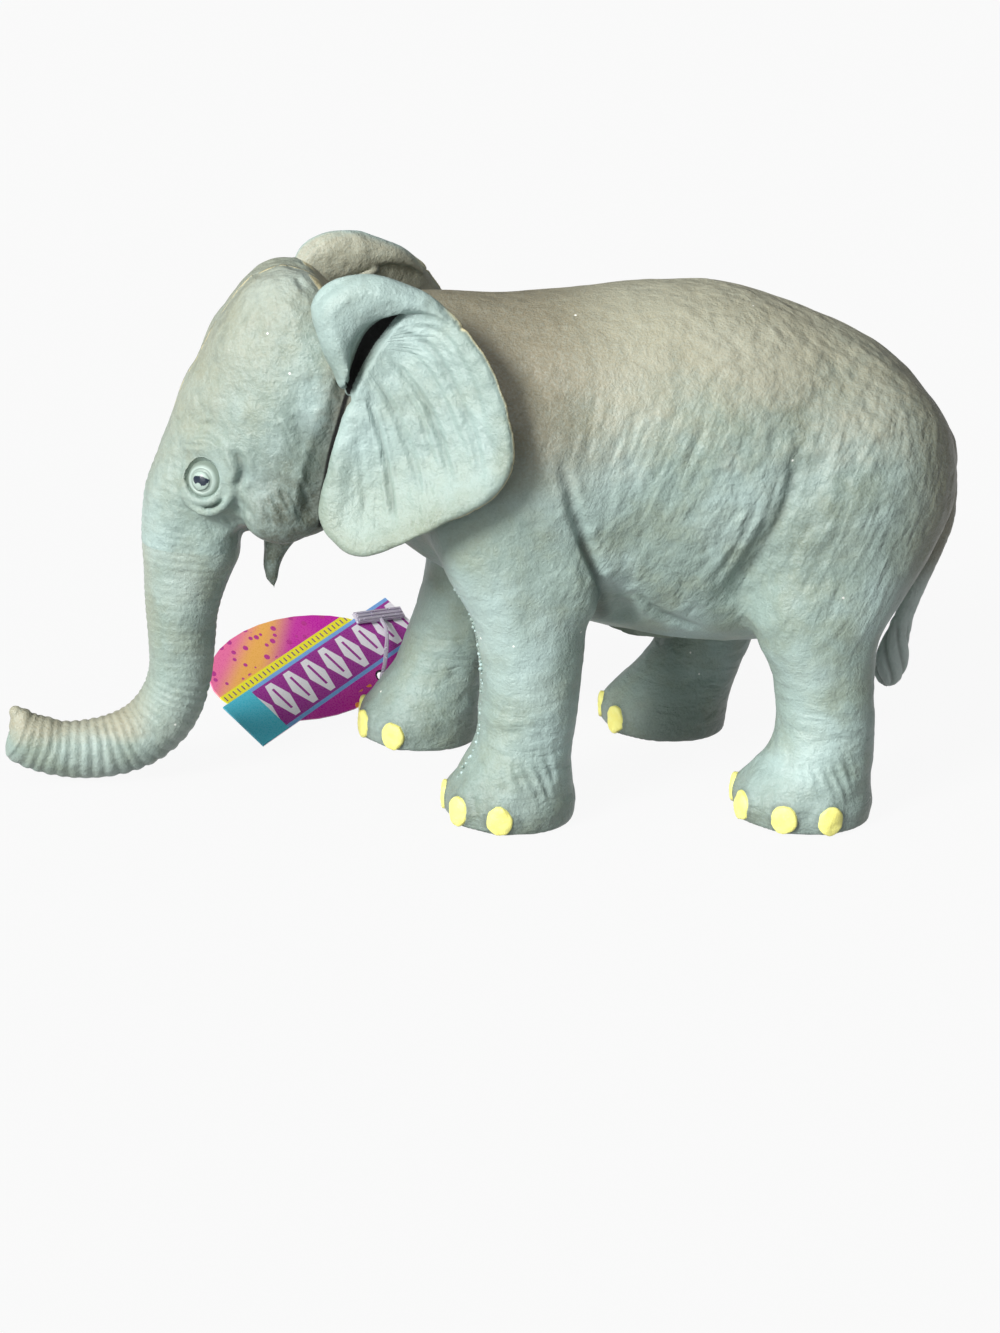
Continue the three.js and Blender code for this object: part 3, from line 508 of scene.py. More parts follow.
def skinFinish(region):
    make = Finish(region + "_rubber")
    at = make.attribute("spot", "Vector")  # where the resting surface was, kept on each point
    x, y, z = make.parts(at)

    def on(value, zone): return value.ease(*skinZones[zone])
    def off(value, zone): return value.fade(*skinZones[zone])
    def cells(name): return make.stretch(at, *skinCells[name])
    def shake(size): return (fine - 0.5) * size

    crease = make.attribute("crease")
    wide, fine = make.noise(at, 0.045, 2.0), make.noise(at, 0.3, 4.0, 0.6)
    speck, patch = make.noise(at, 1.9, 3.0, 0.6), make.noise(at, 0.11, 3.0, 0.6)
    pebble = make.noise(at, 0.34, 1.0, 0.4)
    tint = make.blend(patch.ease(0.42, 0.66) * 0.5, skinLook["sage"], skinLook["olive"])
    tint = make.blend(wide.ease(0.45, 0.66) * 0.5, tint, skinLook["pale"])
    overBack = on(z + (wide - 0.5) * 26.0 + shake(16.0), "back")
    onShoulder = on(z, "shoulder") * 0.7
    ridge, paintedShade = 0.0, None
    if region == "body":
        wash = overBack
        flank = on(x, "flankFront") * on(z, "flankFoot") * off(z, "flankTop")
        leaning = cells("flank")
        streak = (make.noise(leaning, 1.0, 1.5, 0.5, 0.35) - 0.5) * flank
        ankle = (make.noise(cells("ankle"), 1.0, 1.5, 0.5, 0.4) - 0.5) * off(z, "ankle")
        marks = (make.lines(leaning, 0.7) * flank * 0.16).most(
            make.lines(cells("ankleLines"), 0.9) * off(z, "ankleLines") * 0.22)
        rump = on(x, "rumpFront") * off(x, "rumpEnd") * on(z, "rumpFoot")
        rough = pebble * (rump * 0.8 + 0.6) + streak * 1.2 + ankle * 1.2
        # painted shade: the ear's shadow on the shoulder, and the rump's rear, turned away from the lamps
        paintedShade = (off(x, "behindShoulder") * onShoulder).most(on(x, "rear") * on(z, "rearFoot") * 0.92)
        tint = make.blend(off(z, "sole") * 0.45, tint, skinLook["shade"])
    elif region == "head":
        nape = on(x + shake(4.0), "nape") * on(z, "napeFoot")  # behind the crown, seen from above
        neck = on(x + shake(8.0), "neck").most(nape)
        wash = (on(z * 0.5 - x * 0.6 + shake(12.0), "forehead") * 0.6).most(overBack * neck)
        # painted shade: the ear's shadow over the neck
        paintedShade = onShoulder * neck
        marks = make.lines(cells("faceLines"), 0.9) * 0.1
        rough = pebble * 0.7 + (make.noise(cells("face"), 1.0, 1.5, 0.5) - 0.5) * 1.2
        cheek = off(z, "cheekTop") * on(x + shake(6.0), "cheekFront")  # also the hollow before the ear
        mottle = make.noise(at, 0.42, 3.0, 0.6).ease(0.3, 0.62)
        tint = make.blend(cheek * (mottle * 0.45 + 0.65), tint, skinLook["shade"])
        seam = off(abs(y), "seamHalf") * on(z, "seamFoot") * fine.ease(0.46, 0.56)
        crown = off(abs((x + 37.6) * 0.76 + (z - 107.6) * 0.62), "crownHalf") * on(z, "crownFoot")
        ridge = (seam * 0.7).most(crown * on(abs(y), "crownSide") * 0.8)
    elif region == "ear":
        inner = make.attribute("inner")
        spread = make.whole(make.attribute("turn") * 8.0, make.attribute("reach") * 0.05, 0.0)
        wash = make.attribute("back") * 0.95
        # painted light: the top of the ear's lobe made paler, where light falls on it
        tint = make.blend(on(z, "lobeFoot") * off(x, "lobeRear") * 0.45, tint, skinLook["pale"])
        tint = make.blend(off(z, "flapFoot") * 0.75, tint, skinLook["olive"])
        tint = make.blend(inner * 0.25, tint, skinLook["pale"])
        marks = make.lines(spread, 0.7) * 0.3 * inner
        rough = pebble * 0.9 + (make.noise(spread, 0.9, 1.5) - 0.5) * inner * 0.35
        ridge = make.attribute("flash") * fine.ease(0.3, 0.46)
    elif region == "tail":
        wash = wide.ease(0.4, 0.7) * 0.2
        marks = make.lines(at, 0.22) * 0.1
        rough = pebble * 0.5
        # painted light and shade: the tuft is paler, standing in for light the body keeps off it, and the root is brown
        # beside the shaded rump
        tint = make.blend(on(z, "tuft") * 0.8, skinLook["tuft"], skinLook["brownPaintedShade"])
    else:
        wash = (wide.ease(0.4, 0.7) * 0.3).most(off(x, "tipRear") * on(z + shake(3.0), "tipTop"))
        marks = make.lines(at, 0.22) * 0.1
        rough = pebble * 0.7
    tint = make.blend(wash * 0.85, tint, skinLook["tan"])
    # the painted shade is brown
    if paintedShade:
        tint = make.blend(paintedShade, tint, skinLook["brownPaintedShade"])
    if region == "body":
        haunch = on(x, "haunch") * on(z, "haunch") * off(z, "haunchTop")
        tint = make.blend(haunch * 0.3, tint, skinLook["shade"])
    tint = make.blend(speck.ease(0.35, 0.75) * 0.18, tint, skinLook["pale"])
    tint = make.blend((0.5 - fine).ease(0.0, 0.2) * 0.1, tint, skinLook["deep"])
    # painted shade in creases, grooves and wrinkle lines
    tint = make.blend((crease * 0.9 + marks * 0.35).ease(0.1, 0.95) * 0.55, tint, skinLook["deep"])
    # painted shadow: near black where the gaps are deepest
    tint = make.blend(crease.ease(0.93, 0.99), tint, skinLook["pocket"])
    if ridge:
        tint = make.blend(ridge, tint, skinLook["flash"])
    tint = make.blend(make.dots(at, 0.13, 0.034), tint, skinLook["dust"])
    height = rough * 0.9 + fine * 0.8 + speck * 0.3 - marks * 0.4 + ridge * 0.5
    sheen = fine * 0.2 + speck * 0.12 + 0.3 + crease * 0.2 + crease.ease(0.9, 0.98) * 0.3
    return make.surface(Base_Color=tint, Roughness=sheen, Normal=make.bump(height, 0.0008, 0.8),
                        Specular_IOR_Level=0.5)


# The body and its four legs.
body = {
    "step": 0.75, "low": (-32, -46, -2.25), "high": (103, 46, 112),
    "neck": -24.0,      # where the head's piece meets the body's
    "squareness": 2.15,
    "front": (-29.5, 84), "rear": (98, 68),
    "rows": [  # x, top, bottom, half width
        (-27, 102.5, 64, 15.5), (-20, 103.2, 54, 19), (-10, 103.4, 46.5, 23.5), (2, 103.2, 40.5, 27),
        (14, 103.8, 37, 29.5), (27, 105.6, 34, 31), (40, 106.3, 31.8, 31.8), (52, 104.8, 31, 31.6),
        (64, 101, 32.6, 30.4), (76, 96, 38, 27.6), (86, 89.5, 46, 23), (93, 81.5, 54, 17), (97, 73.5, 62, 9.5)],
    "tailRoot": ((93.6, 0, 68.5), (5.2, 5.6, 8.0), 5.0),  # centre, halves, softness of an added form
    "elbow": ((13.0, 26.0, 52.5), (8.4, 5.8, 9.5), 4.0),
    "across": (8, 40),  # between which y the side's surface is looked for
    "armpit": {"path": [(11.4, 68.5), (15.4, 60), (19.6, 51.5), (23.4, 44.5), (25.5, 40)], "out": 1.7,
               "radius": 2.7, "start": 1.0, "soft": 3.0},
    "groin": {"path": [(57.4, 75), (54.4, 66), (50.6, 57), (47.4, 48)], "out": 2.6, "radius": 3.0, "soft": 5.5},
    "plugRoom": {"gap": 0.3, "from": -3, "to": -1.2, "soft": 0.2},
}
legs = {  # z, x, y outwards, half length, half width
    "squareness": 2.1, "crown": 3, "edge": 0.7, "under": -0.4,
    "grown": 2.5, "grownTop": 8.0, "topFrom": (46, 70), "topTo": (78, 93),  # how softly they grow into the body
    "front": [(88, 2, 17.5, 9, 7), (80, 2.4, 19, 15, 9.6), (68, 2.8, 20, 18.2, 10.8), (58, 3.2, 20.6, 17.4, 11),
              (50, 4, 21, 14.8, 11)],
    "hind": [(92, 72, 11.5, 8, 6), (84, 72.2, 17.2, 15, 10.2), (70, 71, 20.6, 20, 12), (58, 68.4, 22, 20.4, 12.2),
             (47, 65.8, 23.4, 17.2, 12)],
    "left_front": [(42, 5.5, 21.6, 12, 10.6), (33, 6.2, 22.2, 10.8, 10), (24, 6.1, 22.8, 10.2, 9.8),
                   (16, 5.4, 23.2, 10.2, 10), (9.5, 4, 23.3, 12, 11.8), (4.5, 3.3, 23.3, 13.3, 13),
                   (1, 3.3, 23.3, 13.1, 12.8)],
    "right_front": [(42, 2.4, 21.6, 12, 10.6), (33, 0.2, 22.2, 10.8, 10), (24, -2.6, 22.8, 10.2, 9.8),
                    (16, -5.4, 23.2, 10.2, 10), (9.5, -7.8, 23.3, 12, 11.8), (4.5, -9, 23.3, 13.3, 13),
                    (1, -9, 23.3, 13.1, 12.8)],
    "left_hind": [(38, 65.4, 24.6, 12.8, 10.8), (30, 67, 25.4, 10.6, 10), (22, 68, 26, 10.2, 9.8),
                  (15, 67.6, 26.3, 10.7, 10.3), (9.5, 65.8, 26.4, 12.6, 12.2), (4.5, 64.6, 26.4, 14.4, 13.4),
                  (1, 64.6, 26.4, 14.2, 13.2)],
    "right_hind": [(38, 61.8, 24.6, 12.8, 10.8), (30, 58.6, 25.4, 10.6, 10), (22, 55.2, 26, 10.4, 9.8),
                   (15, 51.6, 26.3, 11.2, 10.3), (9.5, 48.2, 26.4, 12.8, 12.2), (4.5, 46.6, 26.4, 13.9, 13.4),
                   (1, 46.6, 26.4, 13.7, 13.2)],
}
nails = {"degrees": {"front": (19, 61, 103, 145), "hind": (-10, 31, 75, 117)},
         "halfWidth": 2.75, "halfHeight": 3.05, "halfDepth": 0.95, "height": 3.35, "sunk": 0.68, "flat": 0.42,
         "bend": 0.4, "uneven": 0.0009, "toe": (3.9, 3.9, 4.4), "toeIn": 2.6, "toeSoft": 1.6}
legNames = ["left_front", "right_front", "left_hind", "right_hind"]


def inMiddle(spot):  # a table's x and z, in the toy's middle plane
    return spot[0], 0, spot[1]


def onSide(spot, side):  # a table's point, whose y is outwards
    return spot[0], side * spot[1], spot[2]


def bodyForm():
    c, s = roundSquare(96, body["squareness"])
    rings = [np.stack([np.full(96, x), wide * s, (top + bottom) / 2 + (top - bottom) / 2 * c], -1)
             for x, top, bottom, wide in throughRows(body["rows"], 5)]
    return closeRings(rings, inMiddle(body["front"]), inMiddle(body["rear"]))


def legForm(name):
    side = -1 if name.startswith("left") else 1
    rows = throughRows(legs[name.split("_")[1]] + legs[name], 5)
    c, s = roundSquare(72, legs["squareness"])
    rings = [np.stack([x + long * c, side * (y + wide * s), np.full(72, z)], -1) for z, x, y, long, wide in rows]
    z, x, y, long, wide = rows[-1]
    edge, under = legs["edge"], legs["under"]
    rings.append(np.stack([x + (long - edge) * c, side * (y + (wide - edge) * s), np.full(72, under)], -1))
    top = rows[0]
    return closeRings(rings, (top[1], side * top[2], top[0] + legs["crown"]), (x, side * y, under))


def nailPlaces(name):  # centre and outward direction of each toenail of a foot
    side = -1 if name.startswith("left") else 1
    z, x, y, long, wide = legs[name][-2]
    out = []
    for degrees in nails["degrees"][name.split("_")[1]]:
        turn = math.radians(degrees)
        way = np.array([-math.sin(turn), side * math.cos(turn), 0])
        power = legs["squareness"]
        reach = (abs(way[0] / long) ** power + abs(way[1] / wide) ** power) ** (-1 / power)
        centre = np.array([x, side * y, nails["height"]]) + way * (reach - nails["sunk"])
        out.append((centre, way))
    return out


# The head, its trunk root and the trunk.
head = {
    "step": 0.5, "low": (-80, -27, 45), "high": (-18, 27, 114),
    "squareness": 2.1, "top": (-43.5, 109.2), "bottom": (-46, 53.6), "soft": 8.0,
    "rows": [  # z, front x, back x, half width, narrowing
        (107.4, -50, -38, 9, .1), (103.5, -53.4, -32.5, 14, .12), (97.5, -56.8, -23, 18, .15),
        (90, -60.2, -18, 20.2, .18), (82, -64, -16, 20.8, .22), (74, -66.6, -16.5, 20.4, .28),
        (67, -67.4, -19, 19.4, .32), (61, -65.5, -24, 17.2, .3), (56.5, -60.5, -30, 12.6, .2)],
    "jaw": [(-40.5, 57.5, 7.2, 6.2), (-42.4, 53.6, 4.3, 4.4), (-43.9, 50, 2.6, 3.1), (-44.7, 46.5, 1.9, 2.2),
            (-44.6, 43.6, 1.3, 1.4)],
    "jawRoot": (-40.5, 58.5), "jawTip": (-44.0, 41.6),
    "domes": [((-42.4, 6.8, 100.6), (7.6, 7.4, 7.2), 5.0), ((-48.8, 5.6, 92.0), (8.0, 7.4, 9.4), 3.5)],
    "temple": {"rows": [(-40.6, 26.6, 86, 4.0), (-40.2, 27.0, 78, 4.4)], "soft": 7.0},
    "cheek": ((-44.5, 15.2, 62.5), (7.2, 5.2, 6.6), 3.0),
    "mouth": {"path": [(-49.5, 55.0), (-51.8, 57.5), (-53.4, 60.5), (-53.2, 63.5)], "across": (3, 24),
              "out": 0.6, "radius": 1.2, "soft": 2.2},
    "earGap": {"path": [(-32.4, 89.5), (-33.6, 85), (-35.2, 80), (-36.8, 75), (-37.8, 70), (-38.6, 64)],
               "across": (10, 28), "out": 0.7, "radius": 2.6, "soft": 1.8},
    "throat": {"rows": [(-29.5, -16, 51.5, 7.0), (-30.5, 0, 50.5, 7.4), (-29.5, 16, 51.5, 7.0)], "soft": 4.0},
    "lips": {"rows": [(-48.5, -3.4, 53.4, 0.7), (-49.5, 0, 53.6, 0.8), (-48.5, 3.4, 53.4, 0.7)], "soft": 0.6},
    "jawStep": 0.4, "jawLow": (-52, -9, 38), "jawHigh": (-32, 9, 62),
}
trunk = {
    "step": 0.45, "low": (-106, -15, -1.8), "high": (-45, 15, 66),
    "top": (-53, 87), "end": (-99.4, 10.9), "upperCut": 52.0, "lowerCut": 27.0, "soft": 4.0,
    "rows": [  # x, z, half width
        (-54, 84, 6), (-56.8, 76, 8.3), (-59.6, 70, 9.0), (-61.2, 64, 9.2), (-62.6, 54, 8.7), (-62.9, 46, 8),
        (-62.9, 38, 7.5), (-62.9, 30, 6.9), (-63.3, 23, 6.6), (-65.4, 16.4, 6.7), (-69.6, 11, 6.7),
        (-75.5, 7.9, 6.5), (-82, 6.7, 6.2), (-88.5, 6.9, 5.8), (-94, 8.4, 5.5), (-97, 9.9, 4.9)],
    "finger": {"rows": [(-91.5, 0, 10.2, 3.4), (-93.5, 0, 10.8, 3.2), (-95.6, 0, 13.2, 2.6), (-97.0, 0, 15, 1.5)],
               "soft": 2.0},
    "nostril": {"rows": [(-101, 0, 10.2, 2.3), (-97.6, 0, 9.6, 1.2)], "soft": 0.8},
    "lip": {"rows": [(-58.6, 1.6, 57, 6.2), (-57.6, 1.6, 50.5, 6.3), (-60.2, 1.6, 44.5, 5.9), (-62.4, 1.6, 39, 5.2)],
            "soft": 3.0},
    "lipSide": ((-57.8, 5.2, 53.2), (4.8, 4.8, 6.6), 3.0),
    "bendHalf": 9, "curlHalf": 7, "curlWay": (-0.885, 0, -0.465),  # half lengths of the trunk's stretches about its two hinges, and the way along the lower one
}
eye = {
    "centre": (-59.3, 11.4, 68.1), "facing": (-0.52, 0.84, 0.12), "ball": 4.3, "sunk": 2.85,
    "forms": {  # place along the eye's own axes, back, up and outwards; halves, or radii of a ring; softness
        "brow": ((1.6, 6.6, -0.4), (7.2, 3.8, 2.9), 1.8), "corner": ((5.2, 3.2, -1.0), (3.0, 5.0, 2.4), 1.8),
        "fold": ((0.8, -0.8, -0.2), (5.5, 0.7), 1.2), "socket": ((0, 0, 0.6), (3.8, 3.8, 1.7), 0.5),
        "lid": ((0, 0, 0), (4.2, 1.0), 0.6)},
    "ring": {"radius": 2.1, "depth": 0.28, "width": 0.35},  # pressed into the ball round the iris
}


def headForm():
    c, s = roundSquare(96, head["squareness"])
    rings = [np.stack([(front + back) / 2 + (back - front) / 2 * c, wide * s * (1 + narrow * c),
                       np.full(96, z)], -1) for z, front, back, wide, narrow in throughRows(head["rows"], 6)]
    return closeRings(rings, inMiddle(head["top"]), inMiddle(head["bottom"]))


def pipeForm(rows, first, last, count=48, flat=1.0):  # round sections along a path in the middle plane
    rows = throughRows(rows, 6)
    angle = np.linspace(0, 2 * np.pi, count, endpoint=False)
    rings = []
    for i, (x, z, half) in enumerate(rows):
        way = rows[min(i + 1, len(rows) - 1)][:2] - rows[max(i - 1, 0)][:2]
        way = way / np.linalg.norm(way)
        rings.append(np.stack([x - half * np.cos(angle) * way[1], half * flat * np.sin(angle),
                               z + half * np.cos(angle) * way[0]], -1))
    return closeRings(rings, inMiddle(first), inMiddle(last))


def jawForm():
    c, s = roundSquare(48, 2.0)
    rings = [np.stack([x + long * c, wide * s, np.full(48, z)], -1)
             for x, z, long, wide in throughRows(head["jaw"], 6)]
    return closeRings(rings, inMiddle(head["jawRoot"]), inMiddle(head["jawTip"]))


trunkPath = throughRows([trunk["top"] + (9,)] + trunk["rows"], 6)
trunkRun = np.concatenate([[0], np.cumsum(np.linalg.norm(np.diff(trunkPath[:, :2], axis=0), axis=1))])


def alongTrunk(points):  # how far along the trunk each point lies, and how near its middle line
    gap, run, half = np.full(len(points), remote), np.zeros(len(points)), np.ones(len(points))
    for i, t, off in stretches(trunkPath, points[:, 0], points[:, 2]):
        far = np.hypot(off, points[:, 1])
        near = far < gap
        gap = np.where(near, far, gap)
        run = np.where(near, trunkRun[i] + t * (trunkRun[i + 1] - trunkRun[i]), run)
        half = np.where(near, trunkPath[i, 2], half)
    return run, gap / half


foldLines = {  # grooves seen from the side: path of x, z; width; depth, in mm
    "body": [
        ([(8.9, 78), (11.8, 67.5), (16.4, 57), (21.0, 47.5)], 1.1, 0.9),
        ([(13.2, 62), (17.2, 54), (21.0, 46)], 0.7, 0.6),
        ([(56.8, 79), (54.2, 67.5), (50.4, 58), (46.8, 50)], 1.3, 0.8),
        ([(53.5, 75.4), (50.1, 63.0), (45.1, 50.5)], 0.9, 0.55),
        ([(49.3, 69.2), (45.5, 59.3), (40.8, 50.5)], 0.8, 0.4),
        ([(46.2, 69.3), (42.6, 63.1), (37.9, 56.9)], 0.8, 0.35),
        ([(62.5, 72), (58.5, 63), (55, 54)], 0.8, 0.3),
        ([(66, 66), (62, 57.5), (58.5, 50)], 0.8, 0.25),
        ([(15.9, 86.6), (14.3, 80.6), (15.0, 73.5)], 0.9, 0.22), ([(20.2, 83.6), (18.2, 76)], 0.8, 0.16),
        ([(24.7, 87.6), (22.7, 80.6), (22.1, 72.5)], 0.9, 0.2), ([(29.4, 80.6), (27.4, 72)], 0.8, 0.14),
        ([(19.0, 71.5), (17.9, 65.3), (18.1, 58.1)], 0.9, 0.26), ([(36.8, 84.6), (33.4, 74.5)], 0.9, 0.18),
        ([(46.0, 82.6), (42.2, 71.5)], 0.9, 0.2), ([(33.6, 68.4), (30.8, 60.3)], 0.8, 0.16),
        ([(41.6, 66.4), (37.3, 57.3)], 0.8, 0.16), ([(26.6, 64.4), (25.3, 57)], 0.8, 0.14),
        ([(23, 54), (30, 44.5), (42, 39)], 1.3, 0.3), ([(26, 48), (34, 42), (44, 38)], 0.8, 0.35),
        ([(30, 56), (38, 49), (45, 44.5)], 0.8, 0.25)],
    "foot": [  # on the forefoot; the hind foot has them further back
        ([(3.9, 14.4), (5.7, 10.9), (7.7, 7.5)], 0.55, 0.5), ([(5.9, 15.4), (8.1, 10.8), (9.5, 7.1)], 0.55, 0.5),
        ([(1.8, 14.2), (3.5, 9.8)], 0.55, 0.4), ([(2.9, 4.2), (4.4, 1.9), (6.0, 0.2)], 0.6, 0.5),
        ([(-0.2, 14.7), (0.6, 9.9)], 0.5, 0.35), ([(8.5, 16.6), (10.6, 10.7)], 0.6, 0.4),
        ([(-1.4, 5.1), (-0.6, 0.1)], 0.6, 0.5), ([(-5.8, 7.9), (-6.1, 3.9)], 0.6, 0.4),
        ([(-7.5, 22), (-2, 20.6), (4, 21.4)], 0.6, 0.3), ([(-5, 26), (1, 24.6), (7, 25.6)], 0.6, 0.25)],
    "head": [
        ([(-46.8, 67.9), (-43.5, 62.1)], 0.5, 0.45), ([(-45.0, 68.5), (-42.3, 63.4)], 0.5, 0.45),
        ([(-43.2, 68.2), (-41.1, 63.2)], 0.5, 0.4), ([(-48.6, 66.6), (-46.1, 61.1)], 0.5, 0.35),
        ([(-40.9, 69.8), (-38.8, 65.2)], 0.5, 0.35), ([(-53.4, 63.6), (-51.2, 60.2)], 0.45, 0.4),
        ([(-55.6, 61.1), (-53.4, 58.2)], 0.45, 0.4), ([(-51.3, 64.2), (-49.0, 60.1)], 0.45, 0.35),
        ([(-63.2, 77.0), (-59.3, 77.8), (-56.0, 75.9)], 0.45, 0.4), ([(-61.6, 78.8), (-58.2, 79.8)], 0.45, 0.3),
        ([(-64.6, 74.5), (-60.3, 75.7)], 0.45, 0.3), ([(-53.9, 75.6), (-52.0, 71.4), (-53.4, 67.4)], 0.9, 1.0),
        ([(-42.4, 84), (-41.2, 80), (-39.8, 76)], 1.6, 0.6), ([(-44.5, 81), (-42.8, 77.5)], 0.7, 0.3),
        ([(-46.5, 84.5), (-44.5, 80.5)], 0.6, 0.25), ([(-41.5, 108.5), (-40.2, 107.2)], 0.5, 0.6)],
}
shadeLines = [  # deep gaps that stay dark: path of x, z; width in mm; depth of shade
    ([(-30.5, 92), (-32.2, 87), (-33.4, 82.6), (-34.8, 77), (-35.8, 72), (-36.6, 66), (-36.6, 60.5)], 2.6, 1.0),
    ([(-40.5, 83), (-39.5, 79.5), (-38.2, 76)], 2.2, 0.55),
    ([(13.6, 60.5), (16.8, 53.0), (19.0, 48.0)], 1.5, 0.6), ([(17.6, 51.5), (19.6, 46.5), (21.6, 41.0)], 2.0, 0.9)]
nailCentres = np.array([spot[0] for name in legNames for spot in nailPlaces(name)])
relief = {  # the moulded skin's patterns: where they start and are full, their cells, and their depths, in mm
    "body": (-30, -18), "trunk": {"near": (1.15, 1.5), "top": (72, 84), "front": (-56, -52)},
    "flankX": (4, 16), "flankEnd": (54, 66), "flankZ": (33, 42), "flankTop": (74, 88),
    "thighX": (44, 56), "thighZ": (26, 36), "thighTop": (66, 80), "legTop": (30, 42), "footTop": (16, 24),
    "rumpX": (24, 50), "rumpEnd": (80, 92), "rumpZ": (52, 70),
    "lines": {"flank": (0.2, (3.4, 9, 17)), "thigh": (0.22, (3.6, 9, 15)), "leg": (0.2, (8, 8, 2.6)),
              "body": (0.07, (4.6, 4.6, 4.6)), "face": (0.1, (4.4, 5, 4.6))},
    "lean": 0.3, "leanAt": 60, "slant": (0.83, 0.55),
    "swell": 0.7, "swellCell": (12, 12, 12), "pebble": 0.22, "rumpPebble": 0.2, "pebbleCell": (3.6, 3.6, 3.2),
    "foot": 0.35, "footCell": (5, 5, 4),
    "rib": 0.11, "tipRib": 0.27, "tipRibFrom": 66, "pitch": 1.7, "tipPitch": 2.2, "tipPitchFrom": 72,
    "ribFrom": (8, 26), "ribWander": 0.9, "wanderCell": (5, 5, 5), "ribCell": (5, 3, 5),
    "footLine": 0.75, "footAt": 3.3, "sole": (0.2, 1.6), "nailRoom": 14, "nailRim": 3.2, "rimWidth": 0.45,
    "face": {"depth": 1.2, "front": (-61, -52), "foot": (62, 72), "top": (76, 86)},
    "crown": {"depth": 0.5, "front": (-50, -43), "foot": (95, 101)}, "gapSide": (9, 13),
}


def skinRelief(points, normals):  # how far the moulded skin stands out, in mm, and how creased it is, which the finish turns into painted shade
    x, y, z = points.T
    run, near = alongTrunk(points)
    zone = relief["trunk"]
    onTrunk = fall(near, *zone["near"]) * fall(z, *zone["top"]) * fall(x, *zone["front"])
    onBody = rise(x, *relief["body"])
    long, short = relief["slant"]
    where = {
        "flank": (onBody * rise(x, *relief["flankX"]) * fall(x, *relief["flankEnd"]) * rise(z, *relief["flankZ"])
                  * fall(z, *relief["flankTop"]), np.stack([x + relief["lean"] * (z - relief["leanAt"]), y, z], -1)),
        "thigh": (rise(x, *relief["thighX"]) * rise(z, *relief["thighZ"]) * fall(z, *relief["thighTop"]),
                  np.stack([x * long - z * short, y, x * short + z * long], -1)),
        "leg": (onBody * fall(z, *relief["legTop"]), points), "body": (onBody, points),
        "face": ((1 - onBody) * (1 - onTrunk), points)}
    lines = sum(depth * where[name][0] * creases(where[name][1], cell)
                for name, (depth, cell) in relief["lines"].items())
    rump = onBody * rise(x, *relief["rumpX"]) * rise(z, *relief["rumpZ"]) * fall(x, *relief["rumpEnd"])
    level = relief["swell"] * (grain(points, relief["swellCell"]) - 0.5) \
        + (relief["pebble"] + relief["rumpPebble"] * rump) * (grain(points, relief["pebbleCell"]) - 0.5) \
        + fall(z, *relief["footTop"]) * onBody * relief["foot"] * (grain(points, relief["footCell"]) - 0.5)
    wave = run + relief["ribWander"] * (grain(points, relief["wanderCell"]) - 0.5)
    pitch = np.where(run > relief["tipPitchFrom"], relief["tipPitch"], relief["pitch"])
    ribs = onTrunk * rise(run, *relief["ribFrom"]) \
        * np.where(run > relief["tipRibFrom"], relief["tipRib"], relief["rib"]) \
        * (0.5 + 0.5 * np.cos(2 * np.pi * wave / pitch)) ** 1.5 * (0.45 + 1.1 * grain(points, relief["ribCell"]))
    cut = np.zeros(len(points))
    for name in legNames:
        side = -1 if name.startswith("left") else 1
        if name.endswith("front"):
            cut += strokes(points, normals, foldLines["body"] + foldLines["head"], side)
        shift = legs[name][-2][1] - relief["footAt"]
        moved = [([(u + shift, v) for u, v in path], width, deep) for path, width, deep in foldLines["foot"]]
        cut += relief["footLine"] * strokes(points, normals, moved, side)
    sole, rims = rise(z, *relief["sole"]), np.zeros(len(points))
    for centre in nailCentres:
        gap = ((points - centre) ** 2).sum(1)
        sole = sole * (1 - np.exp(-(gap / relief["nailRoom"]) ** 2))
        rims = np.maximum(rims, np.exp(-((np.sqrt(gap) - relief["nailRim"]) / relief["rimWidth"]) ** 2))
    face, crown = relief["face"], relief["crown"]
    out = (level * (1 - 0.6 * onTrunk) - lines - ribs - cut) * sole \
        - face["depth"] * fall(x, *face["front"]) * rise(z, *face["foot"]) * fall(z, *face["top"]) \
        - crown["depth"] * rise(z, *crown["foot"]) * fall(x, *crown["front"])
    crease = np.clip(0.9 * lines + 1.5 * ribs + 0.62 * np.clip(cut, 0, None) + 0.5 * rims, 0, 0.9)
    for path, width, dark in shadeLines:
        near = np.min([gap for _, _, gap in stretches(throughRows(path, 3), x, z)], axis=0)
        crease = np.maximum(crease, dark * np.exp(-(near / width) ** 2) * rise(np.abs(y), *relief["gapSide"]))
    return out, crease


def buildSkin(lattice, withLegs):
    field = lattice.distance(bodyForm(), 15)
    if withLegs:
        growth = legs["grown"] + legs["grownTop"] * rise(lattice.z, *legs["topFrom"]) * fall(lattice.z, *legs["topTo"])
        for name in legNames:
            field = melt(field, lattice.distance(legForm(name), 15), growth)
        for name in legNames:
            for centre, way in nailPlaces(name):
                lattice.blob(field, centre - way * nails["toeIn"], nails["toe"], nails["toeSoft"])
    field = melt(field, lattice.distance(headForm(), 12), head["soft"])
    field = melt(field, lattice.distance(pipeForm(trunk["rows"], trunk["top"], trunk["end"]), 8), trunk["soft"])
    for side in (-1, 1):
        for centre, halves, soft in head["domes"]:
            lattice.blob(field, onSide(centre, side), halves, soft)
    return field


def carveGroove(lattice, field, side, form, reach):  # balls along a path of x, z that just leave the surface
    rows = []
    for x, z in form["path"]:
        spots = np.stack([np.full(160, x), side * np.linspace(*reach, 160), np.full(160, z)], -1)
        edge = lattice.meet(field, spots)
        rows.append([edge[0], edge[1] + side * form["out"], edge[2], form["radius"]])
    rows[0][3] = form.get("start", form["radius"])
    lattice.chain(field, rows, form["soft"], carve=True)


